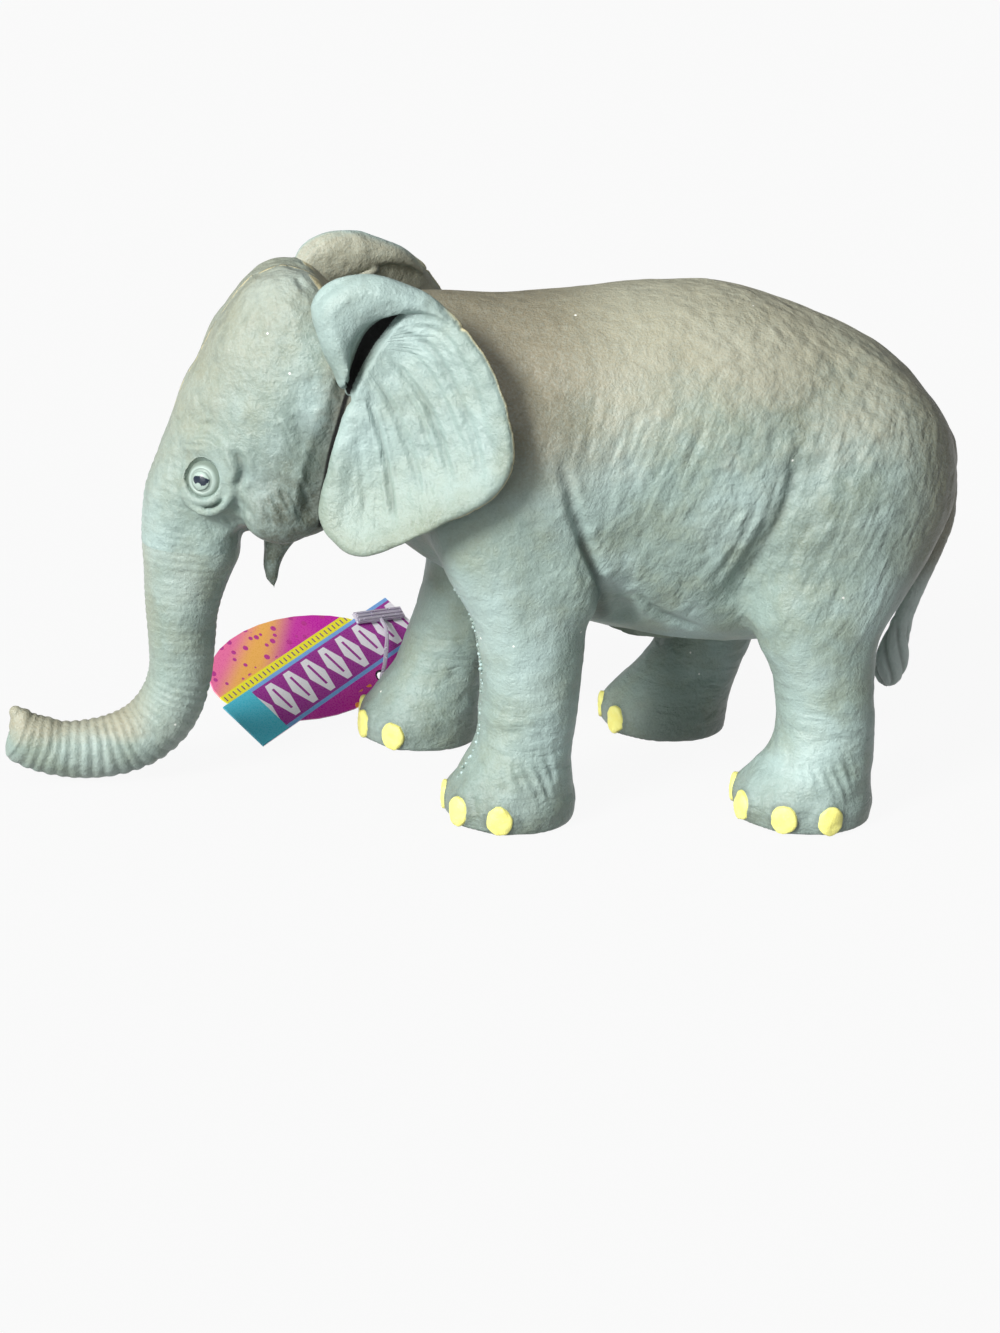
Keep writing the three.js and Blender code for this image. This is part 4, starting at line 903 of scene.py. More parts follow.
def shapeBody(lattice, field):  # the tail's root, the elbow, the crease at the armpit and the fold before the thigh
    centre, halves, soft = body["tailRoot"]
    lattice.blob(field, centre, halves, soft)
    for side in (-1, 1):
        centre, halves, soft = body["elbow"]
        lattice.blob(field, onSide(centre, side), halves, soft)
        for form in (body["armpit"], body["groin"]):
            carveGroove(lattice, field, side, form, body["across"])


def growTrunkRoot(lattice, field):
    centre, halves, soft = trunk["lipSide"]
    for side in (-1, 1):
        lattice.chain(field, np.array(trunk["lip"]["rows"]) * (1, side, 1, 1), trunk["lip"]["soft"])
        lattice.blob(field, onSide(centre, side), halves, soft)


def shapeHead(lattice, field):  # temple hollow, cheek, corner of the mouth, gap at the ear, and throat
    centre, halves, soft = head["cheek"]
    for side in (-1, 1):
        lattice.chain(field, np.array(head["temple"]["rows"]) * (1, side, 1, 1), head["temple"]["soft"], carve=True)
        lattice.blob(field, onSide(centre, side), halves, soft)
        for form in (head["mouth"], head["earGap"]):
            carveGroove(lattice, field, side, form, form["across"])
    lattice.chain(field, head["throat"]["rows"], head["throat"]["soft"], carve=True)


def growEyes(lattice, field):
    out = []
    for side in (-1, 1):
        facing = unit(np.array(eye["facing"]) * (1, side, 1))
        centre = lattice.settle(field, np.array(eye["centre"]) * (1, side, 1))
        up = unit(np.array([0, 0, 1]) - facing[2] * facing)
        back = np.cross(up, facing)
        out.append((centre, np.array([back if back[0] > 0 else -back, up, facing])))
    for centre, axes in out:
        for name, (spot, sizes, soft) in eye["forms"].items():
            at = centre + np.array(spot) @ axes
            if len(sizes) == 2:
                lattice.loop(field, at, axes[2], *sizes, soft)
            else:
                lattice.blob(field, at, sizes, soft, axes, carve=name == "socket")
    return out


def skinPiece(name, points, quads, values, material, cuts=()):
    piece = makeMesh(name, points, quads, values)
    for point, normal in cuts:
        cutFlat(piece, point, normal)
    keepLargest(piece)
    piece.data.materials.append(material)
    return piece


def mouldedPiece(name, lattice, field, material, cuts=()):
    points, quads = lattice.mesh(field)
    normals = pointNormals(points, quads)
    out, crease = skinRelief(points, normals)
    points = points + normals * out[:, None]
    points[:, 2] = np.maximum(points[:, 2], 0)
    return skinPiece(name, points, quads, {"crease": crease}, material, cuts)


def levelCut(height, way):  # a level cut at a height that keeps what lies against the way
    return (0, 0, height), (0, 0, way)


skin = {region: skinFinish(region) for region in ("body", "head", "trunk", "ear", "tail")}

bodySpace = Lattice(body["low"], body["high"], body["step"])
bodyField = buildSkin(bodySpace, True)
bodyField = np.maximum(bodyField, (-bodySpace.z).astype(np.float32))
shapeBody(bodySpace, bodyField)
plugLow, plugHigh = [np.array(corner) * 1000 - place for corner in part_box("belly_plug")]
plugRoom, plugMiddle = body["plugRoom"], (plugLow + plugHigh) / 2
bodySpace.chain(bodyField, [(plugMiddle[0], plugMiddle[1], plugLow[2] + plugRoom[end],
                             (plugHigh - plugLow)[0] / 2 + plugRoom["gap"]) for end in ("from", "to")],
                plugRoom["soft"], carve=True)
softBody = mouldedPiece("soft_body", bodySpace, bodyField, skin["body"], [((body["neck"], 0, 0), (-1, 0, 0))])
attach(softBody, "toy_body")
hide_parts("body_skin", "body_filling", "left_front_leg", "right_front_leg", "left_hind_leg",
            "right_hind_leg")
print("body and legs", len(softBody.data.polygons))

headSpace = Lattice(head["low"], head["high"], head["step"])
headField = buildSkin(headSpace, False)
growTrunkRoot(headSpace, headField)
shapeHead(headSpace, headField)
eyePlaces = growEyes(headSpace, headField)
headSpace.chain(headField, head["lips"]["rows"], head["lips"]["soft"], carve=True)
softHead = mouldedPiece("soft_head", headSpace, headField, skin["head"],
                        [((body["neck"], 0, 0), (1, 0, 0)), levelCut(trunk["upperCut"], -1)])
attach(softHead, "toy_body")
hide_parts("head", "trunk_base")

jawSpace = Lattice(head["jawLow"], head["jawHigh"], head["jawStep"])
jaw = mouldedPiece("lower_lip", jawSpace, jawSpace.distance(jawForm(), 4), skin["head"])
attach(jaw, "toy_body")
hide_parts("lower_jaw")
print("head and jaw", len(softHead.data.polygons), len(jaw.data.polygons))

trunkSpace = Lattice(trunk["low"], trunk["high"], trunk["step"])
trunkField = trunkSpace.distance(pipeForm(trunk["rows"], trunk["top"], trunk["end"]), 6)
trunkField = melt(trunkField, trunkSpace.distance(headForm(), 6), trunk["soft"])
growTrunkRoot(trunkSpace, trunkField)
trunkSpace.chain(trunkField, trunk["finger"]["rows"], trunk["finger"]["soft"])
trunkSpace.chain(trunkField, trunk["nostril"]["rows"], trunk["nostril"]["soft"], carve=True)
upperTrunk = mouldedPiece("trunk_upper_length", trunkSpace, trunkField, skin["trunk"],
                          [levelCut(trunk["upperCut"], 1), levelCut(trunk["lowerCut"], -1)])
lowerTrunk = mouldedPiece("trunk_reaching_tip", trunkSpace, trunkField, skin["trunk"],
                          [levelCut(trunk["lowerCut"], 1)])
curlHinge = np.array(joints["trunk_curl"]["pos_m"]) * 1000 - place
curlHalf = unit(trunk["curlWay"]) * trunk["curlHalf"]
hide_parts("trunk_middle")
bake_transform(upperTrunk)
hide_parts("trunk_tip")
toFrame(curlHinge - curlHalf)
toFrame(curlHinge + curlHalf)
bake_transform(lowerTrunk)
print("trunk", len(upperTrunk.data.polygons), len(lowerTrunk.data.polygons))

# The ears.
ear = {
    "step": 0.42, "x": (-43, 3), "y": (14, 42), "z": (53, 116), "half": 1.3, "rim": 0.35, "rimAt": 2.6, "rimWidth": 1.8,
    "edge": [  # the outline from the side, x and z
        (-34.2, 90.2), (-35.5, 93.0), (-37.4, 97), (-38.9, 101.6), (-39.4, 105.4), (-37.6, 108.8), (-33.4, 111.2),
        (-27.6, 111.7), (-22.3, 110.4), (-15.4, 107.3), (-7.5, 98.5), (-2.9, 88.3), (-1.9, 79), (-5.6, 71.6),
        (-13.2, 66.6), (-21.4, 61.0), (-29.6, 57.4), (-34.6, 59.0), (-37.2, 62.6), (-37.3, 67), (-36.1, 72),
        (-35.2, 77), (-33.4, 82.6), (-32.0, 87.2)],
    "depth": [  # how far outwards the middle of the flap lies: x, z, y
        (-39, 104, 19.6), (-36.4, 97, 20.4), (-34, 90, 21.0), (-33, 84, 21.3), (-35, 76, 21.6), (-36, 70, 21.8),
        (-37, 65, 22.4), (-35, 60, 25.0), (-29.6, 58.2, 29.0), (-21.4, 61.4, 32.4), (-13.6, 67.4, 34.8),
        (-6.4, 72.2, 36.4), (-2.8, 79, 36.4), (-3.8, 88, 34.0), (-8.2, 98, 29.2), (-15.8, 106.8, 23.8),
        (-24, 111, 21.0), (-33, 111, 20.0), (-18.3, 80.7, 26.4), (-21.2, 95.5, 22.4), (-23.6, 70.7, 26.0),
        (-27.5, 66.2, 24.8), (-10.5, 79.9, 31.4), (-14.7, 96.7, 25.6), (-26, 81.6, 23.2)],
    "lobe": [(-11.5, 103.8, 1.6), (-15.5, 106.8, 2.4), (-20.5, 108.2, 3.2), (-26.3, 107.8, 4.2), (-31.2, 106.2, 4.8),
             (-34.8, 102.8, 4.8), (-35.8, 98.6, 4.0), (-35.0, 94.6, 2.9), (-34.0, 91.2, 1.8)],
    "lobeHeight": 3.1, "lobeBack": 2.0, "lobeRear": 0.25, "lobeFull": (-27, -14),
    "pocket": [(-22.4, 104.2, 0.7), (-24.9, 102.4, 1.5), (-27.6, 99.6, 2.1), (-29.7, 95.8, 2.0), (-31.2, 91.6, 1.5),
               (-32.2, 87.2, 0.9)],
    "pocketDepth": 2.5, "pocketBack": 1.7, "pocketEdge": 0.85, "pocketShade": (0.7, 1.25),
    "tip": (-31, 63.5), "tipHeight": 0.9, "tipWidth": 45,
    "folds": [
        ([(-24.3, 101.5), (-17.4, 98.6), (-13.3, 92.7), (-9.0, 82.8), (-7.4, 73.7)], 0.7, 0.45),
        ([(-23.6, 98.7), (-17.9, 94.6), (-14.3, 88.7), (-11.2, 80.8)], 0.5, 0.3),
        ([(-25.1, 96.7), (-19, 89.7), (-15.4, 82.8), (-13.2, 73.7)], 0.65, 0.6),
        ([(-22.2, 91.9), (-18.4, 85.0), (-16.2, 76.7)], 0.45, 0.3),
        ([(-27.4, 93.0), (-23.5, 85.7), (-20.4, 77.8), (-18.6, 69.7)], 0.7, 0.42),
        ([(-28.7, 88.7), (-26.1, 80.8), (-24.4, 72.7), (-23.6, 64.6)], 0.55, 0.6),
        ([(-30.5, 80), (-29.3, 73), (-28.8, 66)], 0.6, 0.22),
        ([(-22.5, 102.2), (-15, 101.5), (-10.2, 94.7), (-6.6, 84)], 0.5, 0.25)],
    "root": (-32, 97), "lean": 0.012,  # the point that the fan of fine folds spreads from, and how they bend
    "fanInside": (1.8, 5.5), "fanLobe": (1.0, 1.5), "fanRoot": (3, 9), "fanCell": (2.9, 6.4, 9), "fanDepth": 0.08,
    "flashX": (-16, -11), "flashZ": (62, 68), "flashHeight": 0.35,
    "swell": (0.5, (7, 7, 7)), "pebble": (0.3, (2.8, 2.8, 2.8)),
    "blend": ((-38.5, 22, 88), (-31.5, 22, 88)),
}
earOutline = throughRows(ear["edge"][-2:] + ear["edge"] + ear["edge"][:2], 5)[10:-10]


def thinPlate(spots, x, z):  # a smooth sheet through known heights, read at x and z
    spots = np.array(spots, float)
    count = len(spots)

    def pull(u, v):
        square = (u[:, None] - spots[None, :, 0]) ** 2 + (v[:, None] - spots[None, :, 1]) ** 2
        return 0.5 * square * np.log(square + 1e-9)

    plane = np.column_stack([np.ones(count), spots[:, :2]])
    matrix = np.block([[pull(spots[:, 0], spots[:, 1]), plane], [plane.T, np.zeros((3, 3))]])
    weight = np.linalg.solve(matrix, np.concatenate([spots[:, 2], np.zeros(3)]))
    return pull(x, z) @ weight[:count] + weight[count] + weight[count + 1] * x + weight[count + 2] * z


def edgeDistance(loop, x, z):  # how far inside a closed outline each point lies
    loop = np.vstack([loop, loop[:1]])
    gap = np.min([off for _, _, off in stretches(loop, x, z)], axis=0)
    inside = np.zeros(len(x), bool)
    for a, b in zip(loop[:-1], loop[1:]):
        way = b - a
        if abs(way[1]) > tiny:
            inside ^= ((a[1] > z) != (b[1] > z)) & (x < a[0] + way[0] * (z - a[1]) / way[1])
    return np.where(inside, gap, -gap)


def bandDome(rows, x, z):  # a round-topped band along a path of x, z, half width
    rows = throughRows(rows, 4)
    ratio = np.full(len(x), 9.0)
    for i, t, off in stretches(rows, x, z):
        ratio = np.minimum(ratio, off / (rows[i, 2] + (rows[i + 1, 2] - rows[i, 2]) * t))
    return np.sqrt(np.clip(1 - ratio ** 3.5, 0, 1)), ratio


def earField(lattice, side):
    x, z = [axis.ravel() for axis in np.meshgrid(lattice.axes[0], lattice.axes[2], indexing="ij")]
    inside = edgeDistance(earOutline, x, z)
    middle = thinPlate(ear["depth"], x, z)
    lobe, _ = bandDome(ear["lobe"], x, z)
    _, ratio = bandDome(ear["pocket"], x, z)
    pocket = np.exp(-(ratio / ear["pocketEdge"]) ** 4)
    tip = np.exp(-((x - ear["tip"][0]) ** 2 + (z - ear["tip"][1]) ** 2) / ear["tipWidth"])
    outer = ear["half"] + ear["rim"] * np.exp(-((inside - ear["rimAt"]) / ear["rimWidth"]) ** 2) \
        + ear["lobeHeight"] * lobe * (ear["lobeRear"] + (1 - ear["lobeRear"]) * fall(x, *ear["lobeFull"])) \
        + ear["tipHeight"] * tip - ear["pocketDepth"] * pocket
    inner = ear["half"] + ear["lobeBack"] * lobe + ear["pocketBack"] * pocket
    shape = (len(lattice.axes[0]), 1, len(lattice.axes[2]))
    centre = (middle + (outer - inner) / 2).reshape(shape)
    half = np.maximum((outer + inner) / 2, 0.5).reshape(shape)
    slope = np.gradient(centre[:, 0, :], lattice.step)
    steep = 1 / np.sqrt(1 + slope[0] ** 2 + slope[1] ** 2)[:, None, :].clip(0.0, 2.2)
    end = np.maximum(half - inside.reshape(shape), 0)
    return (np.hypot(end, (side * lattice.y - centre) * steep) - half * np.minimum(steep * 1.1, 1)).astype(np.float32)


def earRelief(points, normals, side):
    x, _, z = points.T
    rootX, rootZ = ear["root"]
    far = np.hypot(z - rootZ, x - rootX)
    turn = np.arctan2(z - rootZ, x - rootX) + ear["lean"] * far
    inside = edgeDistance(earOutline, x, z)
    _, lobe = bandDome(ear["lobe"], x, z)
    _, pocket = bandDome(ear["pocket"], x, z)
    facing = side * normals[:, 1]
    outer = np.clip(facing * 1.8, 0, 1)
    fan = outer * rise(inside, *ear["fanInside"]) * rise(lobe, *ear["fanLobe"]) * rise(far, *ear["fanRoot"])
    polar = np.stack([turn * 24, far * 0.5, 0 * far], -1)
    lines = creases(polar, ear["fanCell"]) * ear["fanDepth"] * fan
    flash = np.exp(-((facing - 0.05) / 0.28) ** 2) * rise(x, *ear["flashX"]) * rise(z, *ear["flashZ"])
    cut = strokes(points, normals, ear["folds"], side) * outer
    level = sum(height * (grain(points, cell) - 0.5) for height, cell in (ear["swell"], ear["pebble"]))
    crease = np.clip(0.9 * lines + 0.75 * np.clip(cut, 0, None), 0, 0.85)
    crease = np.maximum(crease, outer * (1 - rise(pocket, *ear["pocketShade"])))
    values = {"crease": crease, "turn": turn, "reach": far, "inner": fan, "back": np.clip(-facing * 1.5, 0, 1),
              "flash": flash}
    return level - lines - cut + ear["flashHeight"] * flash, values


for side, word in ((-1, "left"), (1, "right")):
    earSpace = Lattice(*zip(ear["x"], sorted(side * y for y in ear["y"]), ear["z"]), ear["step"])
    points, quads = earSpace.mesh(earField(earSpace, side))
    normals = pointNormals(points, quads)
    out, values = earRelief(points, normals, side)
    piece = skinPiece(word + "_ear_skin", points + normals * out[:, None], quads, values, skin["ear"])
    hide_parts(word + "_ear")
    start, end = [toFrame(onSide(spot, side)) for spot in ear["blend"]]
    word + "_ear_flap"
    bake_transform(piece)
    print(word, "ear", len(piece.data.polygons))

# The tail.
tail = {
    "rows": [(94.6, 68.5, 4.4), (96.4, 64, 4.0), (97.4, 60, 3.3), (97.6, 55, 2.9), (96, 48.5, 2.6), (93.8, 42, 2.4),
             (92.2, 36, 2.1), (91, 31.4, 2)],
    "tuft": [(91, 32.4, 1.9), (90.4, 28.4, 3), (89.8, 24.2, 3.7), (89.4, 20.6, 3.3), (89.2, 18.6, 2)],
    "ends": ((93.4, 71), (90.6, 30.8)), "tuftEnds": ((91.2, 33), (89.2, 17.5)), "flat": 0.8, "soft": 1.6,
    "step": 0.4, "low": (84, -7, 14), "high": (104, 7, 75),
    "middle": ([17, 24, 32, 60], [89.2, 89.8, 91, 97.5]),  # heights, and the x of the tail's middle there
    "twists": 2.5, "twistRise": 0.42, "twistDepth": 0.6, "twistTop": (30, 35),
    "ringDepth": 0.16, "ringCell": (6, 6, 2.2), "ringFoot": (30, 36), "blend": ((97, 0, 64), (97, 0, 57)),
}
tailSpace = Lattice(tail["low"], tail["high"], tail["step"])
tailField = melt(tailSpace.distance(pipeForm(tail["rows"], *tail["ends"], 40), 4),
                 tailSpace.distance(pipeForm(tail["tuft"], *tail["tuftEnds"], 40, tail["flat"]), 4), tail["soft"])
points, quads = tailSpace.mesh(tailField)
normals = pointNormals(points, quads)
x, y, z = points.T
turn = np.arctan2(y, x - np.interp(z, *tail["middle"]))
twist = np.abs(np.sin(tail["twists"] * turn + z * tail["twistRise"])) ** 6 * fall(z, *tail["twistTop"])
rings = tail["ringDepth"] * creases(points, tail["ringCell"]) * rise(z, *tail["ringFoot"])
piece = skinPiece("tail_skin", points - normals * (tail["twistDepth"] * twist + rings)[:, None], quads,
                  {"crease": np.clip(twist * 0.7 + rings * 2, 0, 1)}, skin["tail"])
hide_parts("tail", "tail_tuft")
start, end = [toFrame(spot) for spot in tail["blend"]]
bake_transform(piece)
print("tail", len(piece.data.polygons))


# The eyes.
def eyeFinish(name, centre, axes):
    make = Finish(name)
    at = make.millimetres()
    across, up = [make.along(at, axis, centre) for axis in axes[:2]]
    wobble = make.noise(at, 1.1, 2.0)
    far = (across * across + up * up).maths("SQRT")
    oval = (across * across / 3.3 + (up - 0.1) * (up - 0.1) / 1.2).maths("SQRT")
    notch = ((across + 0.25) * (across + 0.25) + (up + 0.95) * (up + 0.95)).maths("SQRT").ease(0.66, 0.5)
    pupil = (oval + (wobble - 0.5) * 0.7).ease(1.0, 0.86) * (1.0 - notch)
    ring = (far + (wobble - 0.5) * 0.5).ease(1.75, 2.05) * far.fade(2.25, 2.6)
    tint = make.blend(ring * 0.5, colour(172, 190, 182), colour(124, 140, 130))
    # painted shade: darker towards the ball's rim, where it sinks under the lid
    tint = make.blend(far.ease(2.7, 3.3) * 0.7, tint, colour(112, 124, 112))
    tint = make.blend(pupil, tint, colour(38, 46, 60))
    height = ring * -1.0 + make.noise(at, 0.8, 2.0) * 0.3
    return make.surface(Base_Color=tint, Roughness=pupil * -0.15 + 0.38, Normal=make.bump(height, 0.0003, 0.8),
                        Specular_IOR_Level=0.45)


for (centre, axes), word in zip(eyePlaces, ("left", "right")):
    work = bmesh.new()
    bmesh.ops.create_uvsphere(work, u_segments=40, v_segments=24, radius=1)
    ring = eye["ring"]
    for vert in work.verts:
        spot = np.array(vert.co) * eye["ball"]
        if spot[2] > 0:
            spot[2] -= ring["depth"] * math.exp(-((math.hypot(*spot[:2]) - ring["radius"]) / ring["width"]) ** 2)
        spot[2] -= eye["sunk"]
        vert.co = toFrame(centre + spot @ axes)
    bmesh.ops.recalc_face_normals(work, faces=work.faces[:])
    mesh = bpy.data.meshes.new(word + "_eyeball")
    work.to_mesh(mesh)
    work.free()
    mesh.shade_smooth()
    mesh.materials.append(eyeFinish(word + "_eye_paint", centre, axes))
    piece = addObject(word + "_eyeball", mesh)
    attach(piece, "toy_body")
    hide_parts(word + "_eye")
print("eyes")


# Toenails and nodules, repeated by Geometry Nodes.
class Growth(Tree):
    def __init__(self, name, sizes):
        super().__init__(bpy.data.node_groups.new(name, "GeometryNodeTree"))
        self.socket("Geometry", "INPUT", "Geometry")
        for label, value in sizes.items():
            self.socket(label, "INPUT", {tuple: "Vector", int: "Int", float: "Float"}.get(type(value), "Material"))
        self.socket("Geometry", "OUTPUT", "Geometry")
        self.start = self.add("NodeGroupInput")

    def socket(self, label, end, kind):
        self.tree.interface.new_socket(label, in_out=end, socket_type="NodeSocket" + kind)

    def size(self, label): return self.start.out(label)
    def step(self, kind, **inputs): return self.add("GeometryNode" + kind, None, inputs).out(0)

    def close(self, geometry):
        painted = self.step("SetMaterial", Geometry=geometry, Material=self.size("Paint"))
        self.add("NodeGroupOutput", None, {"Geometry": painted})
        return self.tree


def growPiece(name, points, attributes, tree, sizes):  # runs the tree on loose points, keeps the plain mesh
    mesh = bpy.data.meshes.new(name)
    mesh.from_pydata([toFrame(point) for point in points], [], [])
    for key, values in attributes.items():
        giveValues(mesh, key, values)
    seed = addObject(name, mesh)
    modifier = seed.modifiers.new("grow", "NODES")
    modifier.node_group = tree
    for item in tree.interface.items_tree:
        if item.in_out == "INPUT" and item.name in sizes:
            modifier[item.identifier] = sizes[item.name]
    made = bpy.data.meshes.new_from_object(seed.evaluated_get(bpy.context.evaluated_depsgraph_get()))
    seed.modifiers.clear()
    seed.data = made
    made.name = name
    made.shade_smooth()
    return seed


def nailTree(sizes):
    tree = Growth("toenails", sizes)
    x, y, z = tree.parts(tree.step("InputPosition"))
    front = x.maths("SIGN") * abs(x).maths("POWER", tree.size("Flatness")) - y * y * tree.size("Bend")
    ball = tree.step("MeshUVSphere", Segments=32, Rings=20, Radius=1.0)
    ball = tree.step("SetPosition", Geometry=ball, Position=tree.whole(front, y, z))
    facing = tree.add("GeometryNodeInputNamedAttribute", {"data_type": "FLOAT_VECTOR"}, {"Name": "facing"})
    turn = tree.add("FunctionNodeAlignRotationToVector", {"axis": "X"}, {"Vector": facing.out("Attribute")})
    put = tree.step("InstanceOnPoints", Points=tree.size("Geometry"), Instance=ball, Rotation=turn.out("Rotation"),
                    Scale=tree.size("Half size"))
    real = tree.step("RealizeInstances", Geometry=put)
    noise = tree.add("ShaderNodeTexNoise", None, {"Vector": tree.step("InputPosition"), "Scale": 420}).out("Color")
    shift = tree.vector("SUBTRACT", noise, (0.5, 0.5, 0.5)).out(0)
    shift = tree.vector("SCALE", shift, Scale=tree.size("Unevenness")).out(0)
    return tree.close(tree.step("SetPosition", Geometry=real, Offset=shift))


def nailFinish():
    make = Finish("toenail_paint")
    at = make.millimetres()
    wide, fine = make.noise(at, 0.5, 2.0), make.noise(at, 2.6, 3.0)
    tint = make.blend(wide.ease(0.35, 0.7) * 0.5, colour(248, 244, 146), colour(243, 234, 122))
    tint = make.blend(fine.ease(0.58, 0.72) * 0.25, tint, colour(252, 250, 200))
    return make.surface(Base_Color=tint, Roughness=fine * 0.2 + 0.4, Normal=make.bump(fine + wide, 0.00018, 0.7))


nailSizes = {"Half size": tuple(nails[half] / 1000 for half in ("halfDepth", "halfWidth", "halfHeight")),
             "Flatness": nails["flat"], "Bend": nails["bend"], "Unevenness": nails["uneven"], "Paint": nailFinish()}
probe = np.arange(-6, 6, 0.1)  # how far before and behind a spot the body's surface is looked for
spots, ways = [], []
for name in legNames:
    for centre, way in nailPlaces(name):
        spots.append(bodySpace.meet(bodyField, centre + way * probe[:, None]) - way * nails["sunk"])
        ways.append(way)
toenails = growPiece("toenails", spots, {"facing": ways}, nailTree(nailSizes), nailSizes)
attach(toenails, "toy_body")
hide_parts(*[name + "_toenail_" + str(i) for name in legNames for i in (1, 2, 3, 4)])
print("toenails", len(toenails.data.polygons))

# The mould's parting line leaves a row of small nodules down the front of the left fore leg.
flash = {"leg": "left_front", "spacing": 0.9, "size": 0.36, "spread": 0.5, "seed": 5, "low": 9.0, "high": 50.0,
         "sunk": 0.25, "least": 0.45, "most": 1.35, "aside": 1.5}


def flashTree(sizes):
    tree = Growth("mould_flash", sizes)
    seed, spread = tree.size("Seed"), tree.size("Spread")
    shift = tree.add("FunctionNodeRandomValue", {"data_type": "FLOAT_VECTOR"},
                     {0: tree.vector("SCALE", spread, Scale=-1.0).out(0), 1: spread, "Seed": seed}).out(0)
    grow = tree.add("FunctionNodeRandomValue", {"data_type": "FLOAT"},
                    {2: flash["least"], 3: flash["most"], "Seed": seed}).out(1)
    ball = tree.step("MeshIcoSphere", Radius=tree.size("Nodule radius"), Subdivisions=2)
    spots = tree.step("SetPosition", Geometry=tree.size("Geometry"), Offset=shift)
    put = tree.step("InstanceOnPoints", Points=spots, Instance=ball, Scale=grow)
    return tree.close(tree.step("RealizeInstances", Geometry=put))


flashPaint = cloudFinish("flash_rubber", 0.7, (skinLook["pale"], skinLook["sage"]), 0.3, 0.0002, edges=(0.4, 0.6))
flashSizes = {"Nodule radius": flash["size"] / 1000, "Spread": (flash["spread"] / 2000,) * 3, "Seed": flash["seed"],
              "Paint": flashPaint}
spots = []
table = np.array([row[:4] for row in legs[flash["leg"]][::-1] + legs["front"][::-1]])
for z in np.arange(flash["low"], flash["high"], flash["spacing"]):
    x, y, long = [np.interp(z, table[:, 0], table[:, i]) for i in (1, 2, 3)]
    runs = np.array([x - long, -y - flash["aside"], z]) + np.array([1, 0, 0]) * probe[:, None]
    spots.append(bodySpace.meet(bodyField, runs) + np.array([flash["sunk"], 0, 0]))
nodules = growPiece("mould_flash", spots, {}, flashTree(flashSizes), flashSizes)
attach(nodules, "toy_body")
print("flash", len(nodules.data.polygons))

# The tag, its pin and the plug keep their CAD solids.
tag = {"hole": (-15.4, 41.5, 6.1), "lean": 55.5, "turn": 33, "band": (-12.8, 5.6, 17, 6.2), "leaf": 6.4, "stitch": 1.5}
lean, turn = math.radians(tag["lean"]), math.radians(tag["turn"])
cardAlong = np.array([math.cos(turn), math.sin(turn), 0])
cardUp = math.cos(lean) * np.array([0, 0, 1]) + math.sin(lean) * np.array([-math.sin(turn), math.cos(turn), 0])
cardFace = np.cross(cardAlong, cardUp)


def cardFinish():
    make = Finish("printed_card")
    at = make.millimetres()
    u, v, w = [make.along(at, axis, tag["hole"]) for axis in (cardAlong, cardUp, cardFace)]
    cx, cy, degrees, half = tag["band"]
    c, s = math.cos(math.radians(degrees)), math.sin(math.radians(degrees))
    run = (u - cx) * c + (v - cy) * s
    across = (v - cy) * c - (u - cx) * s
    paper = make.noise(at, 3.0, 2.0)
    inBand, edge, row = abs(across).below(half), abs(across), abs(across - 0.2)
    cell = abs((run / tag["leaf"]).maths("FRACT") - 0.5) * tag["leaf"]
    leaf = (cell + row * 0.36).below(2.7) * (1.0 - cell.below(0.36) * row.below(3.0))
    stitch = abs((run / tag["stitch"]).maths("FRACT") - 0.5).below(0.12)
    tint = make.blend(make.noise(at, 0.09, 1.0).ease(0.4, 0.65) * 0.5, colour(204, 44, 172), colour(224, 84, 176))
    for share, shade in (  # printed one over the other
            ((across * 0.4 - run * 0.25).ease(4.0, 7.5), (250, 186, 96)),
            ((across * 0.5 - run * 0.22).ease(9.0, 12.0), (246, 120, 172)),
            (make.dots(at, 0.42, 0.3) * across.above(half + 2.6), (196, 60, 150)),
            (make.dots(at, 0.2, 0.24) * across.below(-half - 2.4) * run.below(6.0), (250, 160, 70)),
            (across.above(half) * across.below(half + 2.2), (250, 240, 60)),
            (across.above(half + 0.5) * across.below(half + 1.7) * stitch, (120, 70, 130)),
            (inBand, (168, 60, 158)),
            (inBand * edge.below(half - 1.5) * leaf, (248, 244, 252)),
            (inBand * edge.above(half - 0.9), (128, 180, 240)),
            (inBand * run.below(-21.0), (90, 206, 232)),
            (w.below(0.0), (236, 234, 230)),  # the bare back
            ((u * u + v * v).maths("SQRT").fade(1.9, 2.1), (30, 18, 34))):  # the rim of the hole
        tint = make.blend(share, tint, colour(*shade))
    return make.surface(Base_Color=tint, Roughness=paper * 0.12 + 0.22, Normal=make.bump(paper, 0.00004, 0.5),
                        Coat_Weight=paper * 0.1 + 0.3, Coat_Roughness=0.12)


pinPaint = cloudFinish("clear_pin_plastic", 0.8, (colour(238, 234, 244), colour(216, 208, 228)), 0.14, 0.0001,
                       Transmission_Weight=0.45, IOR=1.46)
plugPaint = cloudFinish("plug_rubber", 0.9, (colour(128, 140, 128), colour(150, 160, 148)), 0.42, 0.0002, detail=3.0)
for node, material in (("tag_card", cardFinish()), ("tag_pin", pinPaint), ("belly_plug", plugPaint)):
    for slot in frame["nodes"][node].material_slots:
        slot.material = material
print("tag, pin and plug")

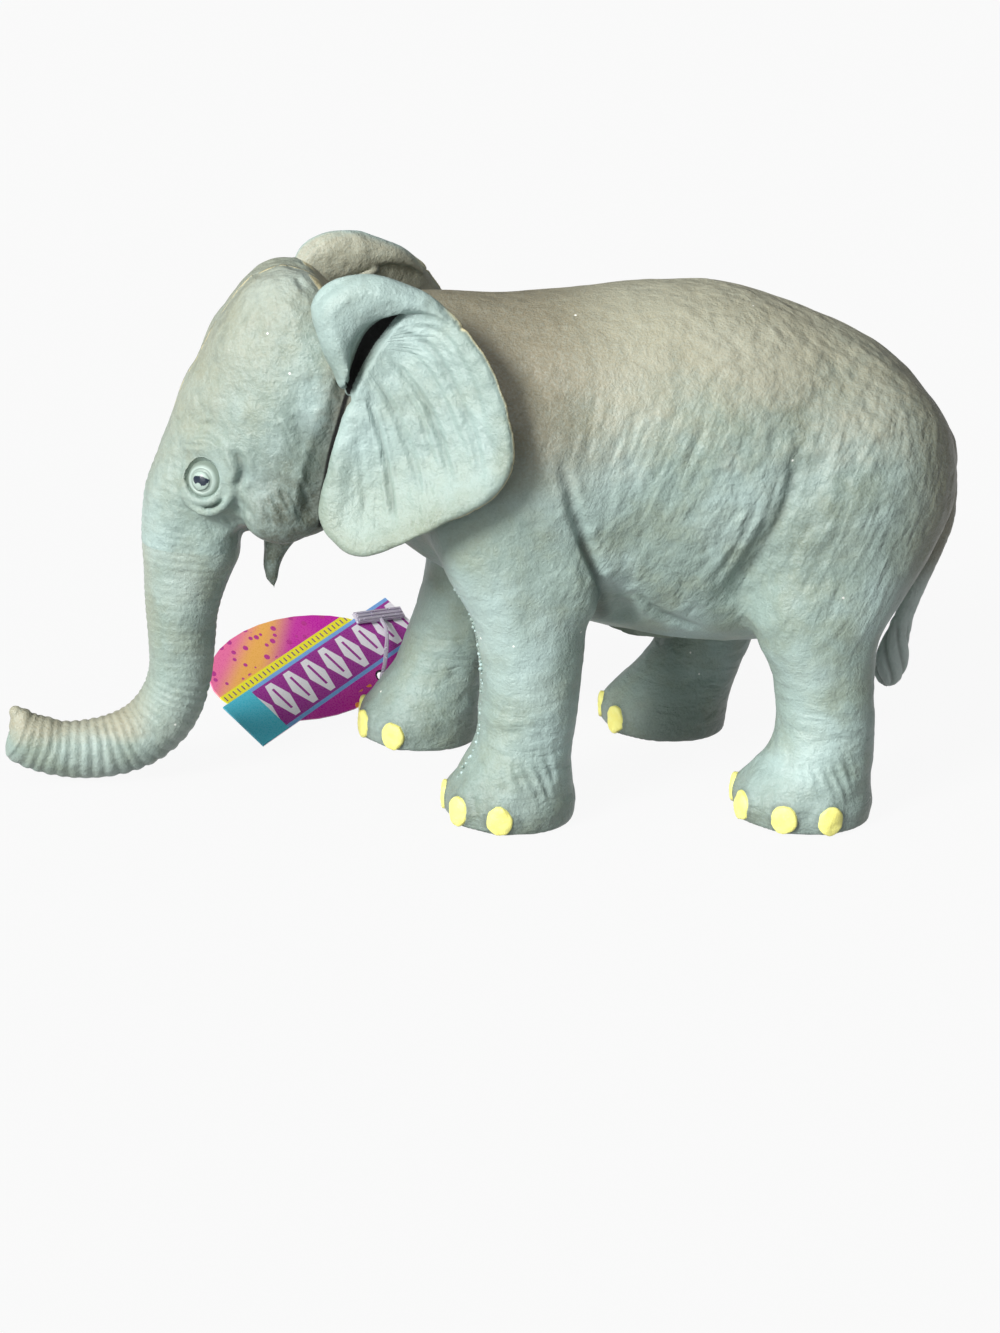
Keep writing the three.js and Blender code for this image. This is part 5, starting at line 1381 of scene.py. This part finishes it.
# Floor, light and camera.
room = {
    "floor": 3.0, "floorTint": (0.3, 0.3, 0.3, 1), "floorGlow": 0.93, "white": (1, 1, 1, 1),
    "world": {"Color": (0.95, 0.98, 1.0, 1), "Strength": 0.12},
    "lamps": {  # strength, spread in degrees, where it shines to, tint
        "key": (3.9, 18, (0.76, 0.6, -0.55), (1.0, 0.99, 0.965)),
        "fill": (0.75, 34, (0.6, 0.76, -0.24), (0.97, 1.0, 0.99)),
        "top": (0.9, 60, (0.15, 0.3, -1.0), (1, 1, 1))},
    "lens": 76.43, "pitch": 19.8, "yaw": 10.0, "roll": 2.6, "camera": (-93.64, -553.76, 226),
}
work = bmesh.new()
bmesh.ops.create_grid(work, x_segments=4, y_segments=4, size=room["floor"])
mesh = bpy.data.meshes.new("studio_floor")
work.to_mesh(mesh)
work.free()
addObject("studio_floor", mesh)
make = Finish("pale_floor")
diffuse = make.add("ShaderNodeBsdfDiffuse", None, {"Color": room["floorTint"]}).out(0)
glow = make.add("ShaderNodeEmission", None, {"Color": room["white"], "Strength": 1.0}).out(0)
ray = make.add("ShaderNodeLightPath")
share = ray.out("Is Camera Ray").most(ray.out("Is Glossy Ray")).most(ray.out("Is Transmission Ray"))
mix = make.add("ShaderNodeMixShader", None, {0: share * room["floorGlow"], 1: diffuse, 2: glow})
mesh.materials.append(make.close(mix.out(0)))

world = bpy.data.worlds.new("studio")
bpy.context.scene.world = world
world.use_nodes = True
world.node_tree.nodes.clear()
make = Tree(world.node_tree)
sky = make.add("ShaderNodeBackground", None, room["world"]).out(0)
show = make.add("ShaderNodeBackground", None, {"Color": room["white"]}).out(0)
seen = make.add("ShaderNodeLightPath").out("Is Camera Ray")
mix = make.add("ShaderNodeMixShader", None, {0: seen, 1: sky, 2: show})
make.add("ShaderNodeOutputWorld", None, {"Surface": mix.out(0)})

for name, (strength, spread, towards, tint) in room["lamps"].items():
    lamp = bpy.data.lights.new(name, "SUN")
    lamp.energy, lamp.angle, lamp.color = strength, math.radians(spread), tint
    addObject(name, lamp).rotation_euler = Vector(towards).to_track_quat("-Z", "Y").to_euler()

yaw, pitch, roll = [math.radians(room[key]) for key in ("yaw", "pitch", "roll")]
flat = np.array([math.sin(yaw), math.cos(yaw), 0])
ahead = math.cos(pitch) * flat + np.array([0, 0, -math.sin(pitch)])
right = np.array([math.cos(yaw), -math.sin(yaw), 0])
up = np.cross(right, ahead)
right, up = math.cos(roll) * right + math.sin(roll) * up, -math.sin(roll) * right + math.cos(roll) * up
view = bpy.data.cameras.new("camera")
view.sensor_fit, view.sensor_height, view.lens = "VERTICAL", 36, room["lens"]
view.clip_start, view.clip_end = 0.01, 20
camera = addObject("camera", view)
camera.matrix_world = Matrix([[right[i], up[i], -ahead[i], toFrame(room["camera"])[i]] for i in range(3)]
                             + [[0, 0, 0, 1]])
bpy.context.scene.camera = camera
bpy.context.scene.view_settings.view_transform = "Standard"
print("floor, light and camera")
